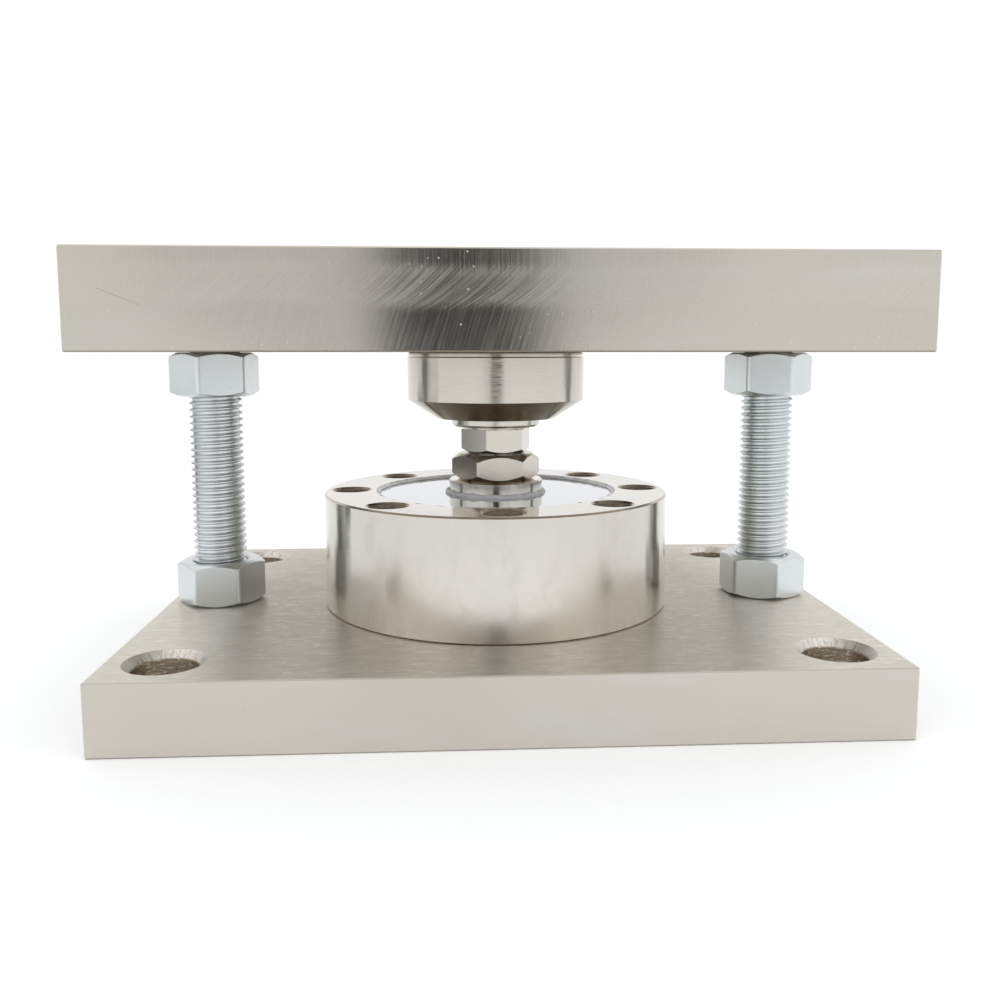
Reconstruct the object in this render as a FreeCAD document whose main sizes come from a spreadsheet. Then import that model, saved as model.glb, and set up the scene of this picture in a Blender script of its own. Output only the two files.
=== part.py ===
"""Weigh module: a spoke load cell held between two thick plates by a self-aligning foot.

The base plate lies on the ground with its underside at Z = 0. The cell stands on it, a jam nut and
a ball-headed foot stand on the cell, and the foot's cup carries the top plate. Two threaded studs
beside the cell keep the plates together. Sizes are in millimetres and degrees.
"""
import FreeCAD, Part
import os
from math import cos, pi, radians, sin

import Sketcher
from FreeCAD import Placement, Rotation, Vector

# ---------------------------------------------------------------------------------------------
# Driving dimensions: name, value, meaning
# ---------------------------------------------------------------------------------------------
SIZES = [
    # the two plates
    ("plate_length", 200.0, "both plates, along X"),
    ("plate_width", 150.0, "both plates, along Y"),
    ("base_thickness", 18.5, "base plate"),
    ("top_thickness", 23.5, "top plate"),
    ("plate_edge_break", 0.35, "broken edges of both plates"),
    ("anchor_margin", 15.0, "corner holes' axes, in from the plates' edges"),
    ("anchor_hole", 16.4, "corner hole diameter"),
    ("anchor_sink", 20.6, "corner hole diameter at its countersunk mouth"),
    # studs and their nuts
    ("stud_margin", 15.0, "studs' axes, in from the plates' ends"),
    ("stud_diameter", 15.8, "over the thread crests"),
    ("stud_fit", 0.1, "radial room of a thread in its nut or tapped hole"),
    ("stud_bottom_recess", 1.0, "stud end above the base plate's underside"),
    ("stud_top_recess", 2.0, "stud end below the top plate's upper face"),
    ("stud_end_chamfer", 1.3, "45 degree point of the studs"),
    ("stud_clearance_hole", 18.0, "free hole for a stud in the top plate"),
    ("stud_clearance_mouth", 19.6, "free hole, diameter at its countersunk mouth"),
    ("nut_flats", 23.2, "hexagon nuts, across flats"),
    ("nut_height", 13.0, "full nuts"),
    ("nut_corner", 1.8, "rounding of the nuts' upright corners"),
    ("nut_face", 21.6, "diameter of a nut's flat end face"),
    ("nut_sink", 17.6, "diameter of the countersink at a nut's thread"),
    ("hex_chamfer", 30.0, "angle of the chamfers turned on nuts and hexagons, from their end faces"),
    ("jack_nut_gap", 0.2, "jack nuts below the top plate"),
    ("lock_left_turn", 5.0, "how far the nut was turned when tight"),
    ("lock_right_turn", 34.0, "how far the nut was turned when tight"),
    ("jack_left_turn", 22.0, "how far the nut was turned when tight"),
    ("jack_right_turn", 46.0, "how far the nut was turned when tight"),
    # load cell body
    ("cell_diameter", 104.8, "outside of the rim"),
    ("cell_height", 34.0, "rim, from underside to upper face"),
    ("cell_edge", 0.5, "chamfer round the rim's outer edges"),
    ("rim_land", 15.55, "width of the rim's upper face, along the radius"),
    ("ledge_width", 2.35, "ledges in the rim that carry the covers"),
    ("cover_fit", 0.2, "radial room of the covers in their recesses"),
    ("hub_diameter", 34.0, "hub between the covers"),
    ("hub_lift", 2.0, "hub underside above the rim underside"),
    ("boss_diameter", 28.8, "round boss on the hub"),
    ("boss_rise", 3.4, "boss above the rim's upper face"),
    ("boss_edge", 0.4, "chamfer round the boss"),
    ("hub_thread_depth", 27.0, "tapped hole in the boss"),
    ("spoke_width", 14.0, "each of the four spokes"),
    ("spoke_height", 20.0, "each of the four spokes"),
    ("spoke_lift", 7.0, "spoke underside above the rim underside"),
    ("spoke_root", 1.2, "how far a spoke runs into the rim before its fillets"),
    ("spoke_fillet", 3.0, "fillets where a spoke meets hub and rim"),
    ("gauge_pocket", 12.0, "diameter of the round pockets milled in the spokes' sides"),
    ("gauge_web", 5.0, "wall left between two gauge pockets"),
    ("bolt_margin", 7.95, "fixing screws' axes, in from the rim's outside"),
    ("bolt_count", 8, "fixing screws"),
    ("screw_hole", 6.8, "free hole for a fixing screw"),
    ("screw_pocket", 11.0, "pocket for a fixing screw's head, diameter"),
    ("screw_pocket_depth", 8.0, "pocket for a fixing screw's head, depth"),
    ("screw_pocket_edge", 0.7, "chamfer at the pocket's mouth"),
    # covers and seals of the cell
    ("membrane_depth", 0.9, "upper cover below the rim's upper face"),
    ("membrane_thickness", 0.6, "upper cover"),
    ("cover_thickness", 1.0, "lower cover"),
    ("cover_gap", 0.3, "lower cover above the rim's underside"),
    ("seal_fit", 0.02, "radial room of the sealant rings"),
    ("boss_seal_width", 0.85, "sealant ring round the boss"),
    ("boss_seal_height", 1.1, "sealant ring round the boss"),
    ("rim_seal_width", 1.4, "sealant ring inside the rim"),
    ("rim_seal_height", 0.8, "sealant ring inside the rim"),
    # fixing screws of the cell
    ("screw_diameter", 6.0, "cell fixing screws"),
    ("screw_fit", 0.05, "radial room of a fixing screw in its tapped hole"),
    ("screw_length", 35.0, "under the head"),
    ("screw_head", 10.0, "head diameter"),
    ("screw_head_height", 6.0, "head height"),
    ("screw_edge", 0.5, "chamfers on head and point"),
    ("screw_key", 5.0, "hexagon socket, across flats"),
    ("screw_key_depth", 3.0, "hexagon socket, depth"),
    ("screw_hole_depth", 12.0, "tapped holes in the base plate"),
    # gauges and terminal board inside the cell
    ("gauge_length", 6.0, "strain gauge foil"),
    ("gauge_width", 5.0, "strain gauge foil"),
    ("gauge_thickness", 0.2, "strain gauge foil"),
    ("board_length", 12.0, "terminal board"),
    ("board_width", 9.0, "terminal board"),
    ("board_thickness", 1.2, "terminal board"),
    # cable gland
    ("exit_angle", 112.5, "direction of the cable exit, turned from +X towards +Y"),
    ("exit_height", 17.0, "cable exit above the rim's underside"),
    ("spot_face", 18.4, "flat milled on the rim for the gland, diameter"),
    ("spot_depth", 1.0, "flat milled on the rim for the gland, depth"),
    ("port_diameter", 12.0, "tapped hole for the gland"),
    ("port_depth", 8.5, "tapped hole for the gland, from the flat"),
    ("wire_hole", 6.0, "passage from the gland to the spokes"),
    ("gland_flats", 15.0, "gland hexagons, across flats"),
    ("gland_face", 13.9, "diameter of a gland hexagon's flat end face"),
    ("gland_corner", 0.3, "rounding of the gland's hexagon corners"),
    ("gland_hex_height", 4.5, "hexagon of the gland body"),
    ("gland_spigot", 7.5, "threaded end in the cell"),
    ("gland_neck", 6.5, "threaded end under the gland nut"),
    ("gland_fit", 0.05, "radial room of the gland's threads"),
    ("gland_seal_bore", 6.4, "hole for the cable in the sealing ring"),
    ("gland_seal_diameter", 9.4, "outside of the sealing ring"),
    ("gland_seal_length", 7.0, "sealing ring"),
    ("gland_nut_gap", 0.6, "gland nut above the gland's hexagon"),
    ("gland_nut_height", 11.0, "gland nut"),
    ("gland_nut_bore", 6.8, "hole for the cable in the gland nut"),
    ("gland_nut_wall", 2.0, "end wall of the gland nut"),
    # foot: jam nut and ball-headed stud
    ("jam_flats", 23.8, "jam nut, across flats"),
    ("jam_face", 22.4, "diameter of the jam nut's flat end face"),
    ("jam_corner", 0.7, "rounding of the jam nut's corners"),
    ("jam_chamfer", 38.0, "angle of the jam nut's turned chamfers, from its end faces"),
    ("jam_height", 8.0, "jam nut"),
    ("jam_gap", 0.3, "foot hexagon above the jam nut"),
    ("jam_turn", 4.0, "how far the jam nut was turned when tight"),
    ("foot_flats", 19.0, "foot hexagon, across flats"),
    ("foot_face", 17.6, "diameter of the foot hexagon's lower end face"),
    ("foot_corner", 0.3, "rounding of the foot hexagon's corners"),
    ("foot_height", 7.2, "foot hexagon"),
    ("foot_turn", 13.0, "how far the foot was turned when tight"),
    ("stem_engagement", 22.0, "foot stem below the top of the boss"),
    ("neck_diameter", 17.2, "neck between hexagon and collar"),
    ("neck_height", 0.8, "neck between hexagon and collar"),
    ("collar_diameter", 27.0, "collar that enters the cup"),
    ("collar_exposed", 2.5, "collar below the cup"),
    ("collar_edge", 0.7, "chamfer under the collar"),
    ("head_diameter", 34.0, "ball head inside the cup"),
    ("head_lift", 0.7, "ball head above the cup's lip"),
    ("head_height", 8.35, "ball head, from its underside to its crown"),
    ("dome_radius", 28.0, "spherical face of the ball head"),
    # cup with its seat and lid
    ("cup_diameter", 53.7, "cup housing"),
    ("cup_height", 18.6, "cup housing"),
    ("cup_cone_height", 5.7, "cone under the cup"),
    ("cup_bottom", 36.0, "diameter at the small end of the cone"),
    ("cup_edge", 0.2, "chamfer at the cup's upper edge"),
    ("cup_lip_bore", 28.2, "hole in the lip that holds the ball head"),
    ("cup_lip_height", 3.2, "lip that holds the ball head"),
    ("cup_cavity", 39.0, "inside of the cup"),
    ("seat_fit", 0.05, "room round the seat and over the ball head"),
    ("seat_crown", 1.7, "seat thickness over the crown of the ball head"),
    ("seat_mouth", 31.0, "seat's hollow, diameter at its lower end"),
    ("lid_gap", 0.15, "lid flange above the cup"),
    ("lid_diameter", 53.0, "lid flange"),
    ("lid_flange", 0.65, "lid flange thickness"),
    ("lid_edge", 0.1, "broken edge of the lid flange"),
    ("shim_diameter", 53.7, "levelling shim"),
    ("shim_thickness", 0.7, "levelling shim"),
    ("shim_edge_width", 0.8, "bevel round the shim, along the radius"),
    ("shim_edge_height", 0.5, "bevel round the shim, upwards"),
    # screw that holds the cup to the top plate
    ("cup_screw", 8.0, "countersunk screw"),
    ("cup_screw_fit", 0.05, "radial room of the screw in the lid's thread"),
    ("cup_screw_hole", 9.0, "free hole in top plate and shim"),
    ("cup_screw_head", 16.0, "head diameter"),
    ("cup_screw_rim", 0.3, "upright rim of the head"),
    ("cup_screw_sink", 17.0, "mouth of the countersink in the top plate"),
    ("cup_screw_length", 27.6, "overall"),
    ("cup_screw_key", 5.0, "hexagon socket, across flats"),
    ("cup_screw_key_depth", 3.0, "hexagon socket, depth"),
]
SIZE = {name: value for name, value, meaning in SIZES}

# Levels of the stack, each built on the one below it
CELL_SEAT = "Dim.base_thickness"
BOSS_TOP = CELL_SEAT + " + Dim.cell_height + Dim.boss_rise"
HEX_BOTTOM = BOSS_TOP + " + Dim.jam_height + Dim.jam_gap"
COLLAR_BOTTOM = HEX_BOTTOM + " + Dim.foot_height + Dim.neck_height"
CUP_BOTTOM = COLLAR_BOTTOM + " + Dim.collar_exposed"
LID_SEAT = CUP_BOTTOM + " + Dim.cup_height + Dim.lid_gap"
SHIM_SEAT = LID_SEAT + " + Dim.lid_flange"
PLATE_UNDERSIDE = SHIM_SEAT + " + Dim.shim_thickness"
PLATE_TOP = PLATE_UNDERSIDE + " + Dim.top_thickness"

# Heights inside the cup, above its underside
HEAD_SEAT = "Dim.cup_lip_height + Dim.head_lift"
CROWN = HEAD_SEAT + " + Dim.head_height"
SEAT_TOP = CROWN + " + Dim.seat_fit + Dim.seat_crown"

# Places shared by the plates and the studs
STUD_X = "(Dim.plate_length / 2 - Dim.stud_margin)"
ANCHOR_X = "(Dim.plate_length / 2 - Dim.anchor_margin)"
ANCHOR_Y = "(Dim.plate_width / 2 - Dim.anchor_margin)"
STUD_BORE = "Dim.stud_diameter + 2 * Dim.stud_fit"

# Radii and heights shared by pieces of the cell
BOLT_RADIUS = "(Dim.cell_diameter / 2 - Dim.bolt_margin)"
COVER_RADIUS = "(Dim.cell_diameter / 2 - Dim.rim_land)"
BORE_RADIUS = "(" + COVER_RADIUS + " - Dim.ledge_width)"
LEDGE_TOP = "Dim.cell_height - Dim.membrane_depth - Dim.membrane_thickness"
MEMBRANE_TOP = "Dim.cell_height - Dim.membrane_depth"
LEDGE_BOTTOM = "Dim.cover_gap + Dim.cover_thickness"
GAUGE_RADIUS = "Dim.hub_diameter / 4 + " + BORE_RADIUS + " / 2"
GAUGE_LEVEL = "Dim.spoke_lift + Dim.spoke_height / 2"

# A hexagon's corners lie 0.577 of its width across flats from its centre, so this clears them
PAST_CORNERS = 0.6
# Starting guess for free sketch points: they lie on a circle of this radius until they are solved
GUESS = 10.0

doc = FreeCAD.newDocument("weigh_module")
dim = doc.addObject("Spreadsheet::Sheet", "Dim")
for row, (name, value, meaning) in enumerate(SIZES, start=1):
    dim.set("A%d" % row, name)
    dim.set("B%d" % row, str(value))
    dim.set("C%d" % row, meaning)
    dim.setAlias("B%d" % row, name)
doc.recompute()

parts = []


# ---------------------------------------------------------------------------------------------
# Helpers
# ---------------------------------------------------------------------------------------------
def new_body(label, level="0", across="0", along="0", turn="0", tilt="0"):
    """Start a sub-part and place it by formulas: its origin, a turn about Z and a tilt before it."""
    body = doc.addObject("PartDesign::Body", label)
    body.Label = label
    place = "placement(vector(%s; %s; %s); rotationz(%s) * rotationy(%s))"
    body.setExpression("Placement", place % (across, along, level, turn, tilt))
    parts.append(body)
    return body


def origin_part(body, role):
    """Find one plane or axis of the body's own origin."""
    return [item for item in body.Origin.OriginFeatures if item.Role == role][0]


def sketch_on(body, role, name, offsets=None, turn=None):
    """Start a sketch on an origin plane, moved and turned by formulas in the plane's own axes."""
    sketch = body.newObject("Sketcher::SketchObject", name)
    sketch.AttachmentSupport = [(origin_part(body, role), "")]
    sketch.MapMode = "FlatFace"
    if turn:
        sketch.AttachmentOffset = Placement(Vector(0, 0, 0), Rotation(Vector(0, 1, 0), 1))
        sketch.setExpression("AttachmentOffset.Rotation.Angle", turn)
    for axis, formula in (offsets or {}).items():
        sketch.setExpression("AttachmentOffset.Base." + axis, formula)
    return sketch


def pin(sketch, part, point, across, up, guess):
    """Hold a point at two formulas, measured from the sketch's origin; None leaves one free."""
    for kind, axis, formula, start in (("DistanceX", -2, across, guess[0]), ("DistanceY", -1, up, guess[1])):
        if formula == "0":
            sketch.addConstraint(Sketcher.Constraint("PointOnObject", part, point, axis))
        elif formula:
            number = sketch.addConstraint(Sketcher.Constraint(kind, -1, 1, part, point, start))
            sketch.setExpression("Constraints[%d]" % number, formula)


def outline(sketch, corners):
    """Draw a closed outline through corners, each given as formulas for its two coordinates."""
    first = sketch.GeometryCount
    count = len(corners)
    turns = [2 * pi * (index + 0.3) / count for index in range(count)]
    guesses = [Vector(GUESS * cos(turn), GUESS * sin(turn), 0) for turn in turns]
    for index in range(count):
        sketch.addGeometry(Part.LineSegment(guesses[index], guesses[(index + 1) % count]), False)
    for index in range(count):
        sketch.addConstraint(
            Sketcher.Constraint("Coincident", first + index, 2, first + (index + 1) % count, 1)
        )
        pin(sketch, first + index, 1, corners[index][0], corners[index][1], guesses[index])


def dome_height(radius, crown, across):
    """Height at a distance from the axis on a sphere whose crown is at a height."""
    return "%s - %s + sqrt((%s) ^ 2 - (%s) ^ 2)" % (crown, radius, radius, across)


def domed_outline(sketch, corners, crown):
    """Draw an outline whose last corner is joined to the crown on the axis by a spherical arc."""
    count = len(corners)
    for index in range(count - 1):
        start = Vector(GUESS * 0.8, -GUESS + index, 0)
        sketch.addGeometry(Part.LineSegment(start, start + Vector(0, 1, 0)), False)
    circle = Part.Circle(Vector(0, 0, 0), Vector(0, 0, 1), GUESS)
    sketch.addGeometry(Part.ArcOfCircle(circle, radians(35), radians(90)), False)
    sketch.addGeometry(Part.LineSegment(Vector(0, GUESS, 0), Vector(0, -GUESS, 0)), False)
    for index in range(count + 1):
        sketch.addConstraint(Sketcher.Constraint("Coincident", index, 2, (index + 1) % (count + 1), 1))
    for index, (across, up) in enumerate(corners):
        pin(sketch, index, 1, across, up, (GUESS * 0.8, -GUESS + index))
    pin(sketch, count, 1, "0", crown, (0, GUESS))
    pin(sketch, count - 1, 3, "0", None, (0, 0))


def circle_at(sketch, across, up, diameter):
    """Draw a circle from formulas for its centre and diameter."""
    start = Vector(GUESS + 3 * sketch.GeometryCount, GUESS, 0)
    part = sketch.addGeometry(Part.Circle(start, Vector(0, 0, 1), 1.0), False)
    pin(sketch, part, 3, across, up, start)
    number = sketch.addConstraint(Sketcher.Constraint("Diameter", part, 2.0))
    sketch.setExpression("Constraints[%d]" % number, diameter)


def rectangle(sketch, left, right, low, high):
    """Draw an upright rectangle from formulas for its four sides."""
    outline(sketch, [(left, low), (right, low), (right, high), (left, high)])


def hexagon(sketch, flats):
    """Draw a hexagon round the sketch's origin, with two corners on the first axis."""
    corner = flats + " / sqrt(3)"
    half = flats + " / (2 * sqrt(3))"
    side = flats + " / 2"
    outline(
        sketch,
        [
            (corner, "0"), (half, side), ("-" + half, side),
            ("-" + corner, "0"), ("-" + half, "-" + side), (half, "-" + side),
        ],
    )


def pad(body, sketch, name, length):
    """Raise a sketch into a solid, along its normal."""
    feature = body.newObject("PartDesign::Pad", name)
    feature.Profile = sketch
    feature.setExpression("Length", length)
    return feature


def pocket(body, sketch, name, length, outwards=False):
    """Cut a sketch down against its normal, or along it."""
    feature = body.newObject("PartDesign::Pocket", name)
    feature.Profile = sketch
    feature.Reversed = outwards
    feature.setExpression("Length", length)
    return feature


def turned(body, sketch, name, kind="PartDesign::Revolution", axis="V_Axis"):
    """Turn a sketch round one of its own axes, as a solid or as a groove."""
    feature = body.newObject(kind, name)
    feature.Profile = sketch
    feature.ReferenceAxis = (sketch, [axis])
    feature.Angle = 360
    return feature


def grooved(body, sketch, name, axis="V_Axis"):
    """Cut a groove by turning a sketch round one of its own axes."""
    return turned(body, sketch, name, "PartDesign::Groove", axis)


def drilled(body, sketch, name, diameter, depth=None, mouth=None):
    """Drill every circle of a sketch, through or to a depth, with a countersunk mouth if wanted."""
    doc.recompute()
    hole = body.newObject("PartDesign::Hole", name)
    hole.Profile = sketch
    hole.ThreadType = "None"
    hole.DepthType = "Dimension" if depth else "ThroughAll"
    if depth:
        hole.DrillPoint = "Angled"
        hole.setExpression("Depth", depth)
    if mouth:
        hole.HoleCutType = "Countersink"
        hole.HoleCutCustomValues = True
        hole.HoleCutCountersinkAngle = 90
        hole.setExpression("HoleCutDiameter", mouth)
    hole.setExpression("Diameter", diameter)
    return hole


def patterned(body, features, name, count):
    """Repeat features round the body's Z axis."""
    pattern = body.newObject("PartDesign::PolarPattern", name)
    pattern.Originals = features
    pattern.Axis = (origin_part(body, "Z_Axis"), [""])
    pattern.Angle = 360
    pattern.setExpression("Occurrences", count)
    body.Tip = pattern
    return pattern


def rounded_corners(body, feature, name, radius):
    """Round the upright edges of a feature."""
    doc.recompute()
    upright = []
    for number, edge in enumerate(feature.Shape.Edges, start=1):
        along = edge.Vertexes[-1].Point - edge.Vertexes[0].Point
        if abs(along.x) + abs(along.y) < 1e-6:
            upright.append("Edge%d" % number)
    fillet = body.newObject("PartDesign::Fillet", name)
    fillet.Base = (feature, upright)
    fillet.setExpression("Radius", radius)
    return fillet


def hex_chamfers(body, flats, face, low, high, ends=("low", "high"), angle="Dim.hex_chamfer"):
    """Turn the chamfers on the ends of a hexagon."""
    sketch = sketch_on(body, "XZ_Plane", body.Label + "_chamfer_profile")
    inner = face + " / 2"
    outer = "%s * %g" % (flats, PAST_CORNERS)
    drop = "(%s - %s) * tan(%s)" % (outer, inner, angle)
    if "low" in ends:
        outline(sketch, [(inner, low), (outer, low), (outer, "%s + %s" % (low, drop))])
    if "high" in ends:
        outline(sketch, [(inner, high), (outer, "%s - %s" % (high, drop)), (outer, high)])
    return grooved(body, sketch, body.Label + "_chamfers")


# ---------------------------------------------------------------------------------------------
# Plates
# ---------------------------------------------------------------------------------------------
def plate_blank(label, level, thickness):
    """A ground plate with broken edges."""
    body = new_body(label, level)
    plan = sketch_on(body, "XY_Plane", label + "_plan")
    rectangle(
        plan, "-Dim.plate_length / 2", "Dim.plate_length / 2", "-Dim.plate_width / 2", "Dim.plate_width / 2"
    )
    block = pad(body, plan, label + "_block", thickness)
    doc.recompute()
    breaks = body.newObject("PartDesign::Chamfer", label + "_edges")
    breaks.Base = (block, ["Edge%d" % number for number in range(1, len(block.Shape.Edges) + 1)])
    breaks.setExpression("Size", "Dim.plate_edge_break")
    return body


def anchor_holes(body, thickness):
    """Four corner holes, countersunk on the plate's upper face."""
    sketch = sketch_on(body, "XY_Plane", body.Label + "_anchor_centres", {"z": thickness})
    for left in ("-", ""):
        for near in ("-", ""):
            circle_at(sketch, left + ANCHOR_X, near + ANCHOR_Y, "Dim.anchor_hole")
    return drilled(body, sketch, body.Label + "_anchors", "Dim.anchor_hole", mouth="Dim.anchor_sink")


def stud_holes(body, thickness, diameter, mouth):
    """The two holes beside the cell, for the studs."""
    sketch = sketch_on(body, "XY_Plane", body.Label + "_stud_centres", {"z": thickness})
    for left in ("-", ""):
        circle_at(sketch, left + STUD_X, "0", diameter)
    return drilled(body, sketch, body.Label + "_stud_holes", diameter, mouth=mouth)


def base_plate():
    """Lower plate: anchors to the ground, carries the cell and both studs."""
    body = plate_blank("base_plate", "0", "Dim.base_thickness")
    anchor_holes(body, "Dim.base_thickness")
    stud_holes(body, "Dim.base_thickness", STUD_BORE, "Dim.nut_sink")
    centre = sketch_on(body, "XY_Plane", "cell_screw_centre", {"z": "Dim.base_thickness"})
    bore = "Dim.screw_diameter + 2 * Dim.screw_fit"
    circle_at(centre, BOLT_RADIUS, "0", bore)
    hole = drilled(body, centre, "cell_screw_hole", bore, depth="Dim.screw_hole_depth")
    patterned(body, [hole], "cell_screw_holes", "Dim.bolt_count")


def top_plate():
    """Upper plate: takes the load, is free on the studs and screwed to the cup."""
    body = plate_blank("top_plate", PLATE_UNDERSIDE, "Dim.top_thickness")
    anchor_holes(body, "Dim.top_thickness")
    stud_holes(body, "Dim.top_thickness", "Dim.stud_clearance_hole", "Dim.stud_clearance_mouth")
    centre = sketch_on(body, "XY_Plane", "cup_screw_centre", {"z": "Dim.top_thickness"})
    circle_at(centre, "0", "0", "Dim.cup_screw_hole")
    drilled(body, centre, "cup_screw_hole", "Dim.cup_screw_hole", mouth="Dim.cup_screw_sink")


# ---------------------------------------------------------------------------------------------
# Studs and their nuts
# ---------------------------------------------------------------------------------------------
def support_stud(side, sign):
    """Threaded stud, screwed through the base plate and free in the top plate."""
    body = new_body("support_stud_" + side, "Dim.stud_bottom_recess", sign + STUD_X)
    length = "(" + PLATE_TOP + " - Dim.stud_top_recess - Dim.stud_bottom_recess)"
    radius = "Dim.stud_diameter / 2"
    inner = radius + " - Dim.stud_end_chamfer"
    profile = sketch_on(body, "XZ_Plane", "stud_profile_" + side)
    outline(
        profile,
        [
            ("0", "0"), (inner, "0"), (radius, "Dim.stud_end_chamfer"),
            (radius, length + " - Dim.stud_end_chamfer"), (inner, length), ("0", length),
        ],
    )
    turned(body, profile, "stud_turned_" + side)


def hex_nut(label, level, across, turn, flats, face, corner, height, angle="Dim.hex_chamfer"):
    """Hexagon nut with turned chamfers and a countersunk thread."""
    body = new_body(label, level, across, turn=turn)
    plan = sketch_on(body, "XY_Plane", label + "_plan")
    hexagon(plan, flats)
    blank = pad(body, plan, label + "_blank", height)
    rounded_corners(body, blank, label + "_corners", corner)
    hex_chamfers(body, flats, face, "0", height, angle=angle)
    bore = "(%s) / 2" % STUD_BORE
    sink = "Dim.nut_sink / 2"
    depth = "(%s - %s)" % (sink, bore)
    profile = sketch_on(body, "XZ_Plane", label + "_thread_profile")
    outline(
        profile,
        [
            ("0", "0"), (sink, "0"), (bore, depth),
            (bore, "%s - %s" % (height, depth)), (sink, height), ("0", height),
        ],
    )
    grooved(body, profile, label + "_thread")
    return body


def stud_nuts(side, sign):
    """Lock nut on the base plate and jack nut under the top plate."""
    across = sign + STUD_X
    sizes = ("Dim.nut_flats", "Dim.nut_face", "Dim.nut_corner", "Dim.nut_height")
    hex_nut("lock_nut_" + side, CELL_SEAT, across, "Dim.lock_%s_turn" % side, *sizes)
    level = PLATE_UNDERSIDE + " - Dim.jack_nut_gap - Dim.nut_height"
    hex_nut("jack_nut_" + side, level, across, "Dim.jack_%s_turn" % side, *sizes)


# ---------------------------------------------------------------------------------------------
# Load cell
# ---------------------------------------------------------------------------------------------
def rim_ring(body):
    """Outer ring with a ledge for a cover at each end."""
    outer = "Dim.cell_diameter / 2"
    edge = "Dim.cell_edge"
    profile = sketch_on(body, "XZ_Plane", "rim_profile")
    outline(
        profile,
        [
            (BORE_RADIUS, LEDGE_BOTTOM), (COVER_RADIUS, LEDGE_BOTTOM), (COVER_RADIUS, "0"),
            (outer + " - " + edge, "0"), (outer, edge), (outer, "Dim.cell_height - " + edge),
            (outer + " - " + edge, "Dim.cell_height"), (COVER_RADIUS, "Dim.cell_height"),
            (COVER_RADIUS, LEDGE_TOP), (BORE_RADIUS, LEDGE_TOP),
        ],
    )
    turned(body, profile, "rim")


def spokes(body):
    """Four spokes in one cross, a hub in the middle, and the fillets between them."""
    cross = sketch_on(body, "XY_Plane", "spoke_plan", {"z": "Dim.spoke_lift"})
    far = "(" + BORE_RADIUS + " + Dim.spoke_root)"
    near = "(Dim.spoke_width / 2)"
    outline(
        cross,
        [
            (far, near), (near, near), (near, far), ("-" + near, far), ("-" + near, near), ("-" + far, near),
            ("-" + far, "-" + near), ("-" + near, "-" + near), ("-" + near, "-" + far), (near, "-" + far),
            (near, "-" + near), (far, "-" + near),
        ],
    )
    pad(body, cross, "spoke_cross", "Dim.spoke_height")
    boss = "Dim.boss_diameter / 2"
    top = "Dim.cell_height + Dim.boss_rise"
    profile = sketch_on(body, "XZ_Plane", "hub_profile")
    outline(
        profile,
        [
            ("0", "Dim.hub_lift"), ("Dim.hub_diameter / 2", "Dim.hub_lift"),
            ("Dim.hub_diameter / 2", LEDGE_TOP),
            (boss, LEDGE_TOP), (boss, top + " - Dim.boss_edge"), (boss + " - Dim.boss_edge", top), ("0", top),
        ],
    )
    hub = turned(body, profile, "hub")
    doc.recompute()
    roots = []
    for number, edge in enumerate(hub.Shape.Edges, start=1):
        along = edge.Vertexes[-1].Point - edge.Vertexes[0].Point
        if abs(abs(along.z) - SIZE["spoke_height"]) < 1e-6 and abs(along.x) + abs(along.y) < 1e-6:
            roots.append("Edge%d" % number)
    fillet = body.newObject("PartDesign::Fillet", "spoke_fillets")
    fillet.Base = (hub, roots)
    fillet.setExpression("Radius", "Dim.spoke_fillet")


def gauge_pockets(body):
    """Round pockets milled from both sides of each spoke, leaving the web that carries the gauges."""
    pockets = []
    depth = "Dim.spoke_width / 2 - Dim.gauge_web / 2 + Dim.spoke_root"
    for name, sign, outwards in (("far", "-", False), ("near", "", True)):
        sketch = sketch_on(body, "XZ_Plane", "gauge_pocket_" + name, {"z": sign + "Dim.gauge_web / 2"})
        circle_at(sketch, GAUGE_RADIUS, GAUGE_LEVEL, "Dim.gauge_pocket")
        pockets.append(pocket(body, sketch, "gauge_cut_" + name, depth, outwards))
    patterned(body, pockets, "gauge_pockets", "4")


def screw_pockets(body):
    """Stepped holes for the fixing screws, with chamfered mouths."""
    top = "Dim.cell_height"
    wide = "Dim.screw_pocket / 2"
    mouth = wide + " + Dim.screw_pocket_edge"
    floor = top + " - Dim.screw_pocket_depth"
    hole = "Dim.screw_hole / 2"
    profile = sketch_on(body, "XZ_Plane", "screw_pocket_profile", {"x": BOLT_RADIUS})
    outline(
        profile,
        [
            ("0", "0"), (hole, "0"), (hole, floor), (wide, floor),
            (wide, top + " - Dim.screw_pocket_edge"), (mouth, top), ("0", top),
        ],
    )
    cut = grooved(body, profile, "screw_pocket")
    patterned(body, [cut], "screw_pockets", "Dim.bolt_count")


def cable_port(body):
    """Milled flat, tapped hole and wire passage for the cable gland."""
    flat = "Dim.cell_diameter / 2 - Dim.spot_depth"
    floor = flat + " - Dim.port_depth"
    inside = BORE_RADIUS + " - Dim.spoke_fillet"
    outside = "Dim.cell_diameter / 2 + Dim.spot_depth"
    profile = sketch_on(body, "XZ_Plane", "cable_port_profile", {"y": "Dim.exit_height"}, "Dim.exit_angle")
    outline(
        profile,
        [
            (inside, "0"), (inside, "Dim.wire_hole / 2"), (floor, "Dim.wire_hole / 2"),
            (floor, "Dim.port_diameter / 2"), (flat, "Dim.port_diameter / 2"), (flat, "Dim.spot_face / 2"),
            (outside, "Dim.spot_face / 2"), (outside, "0"),
        ],
    )
    grooved(body, profile, "cable_port", "H_Axis")


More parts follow.
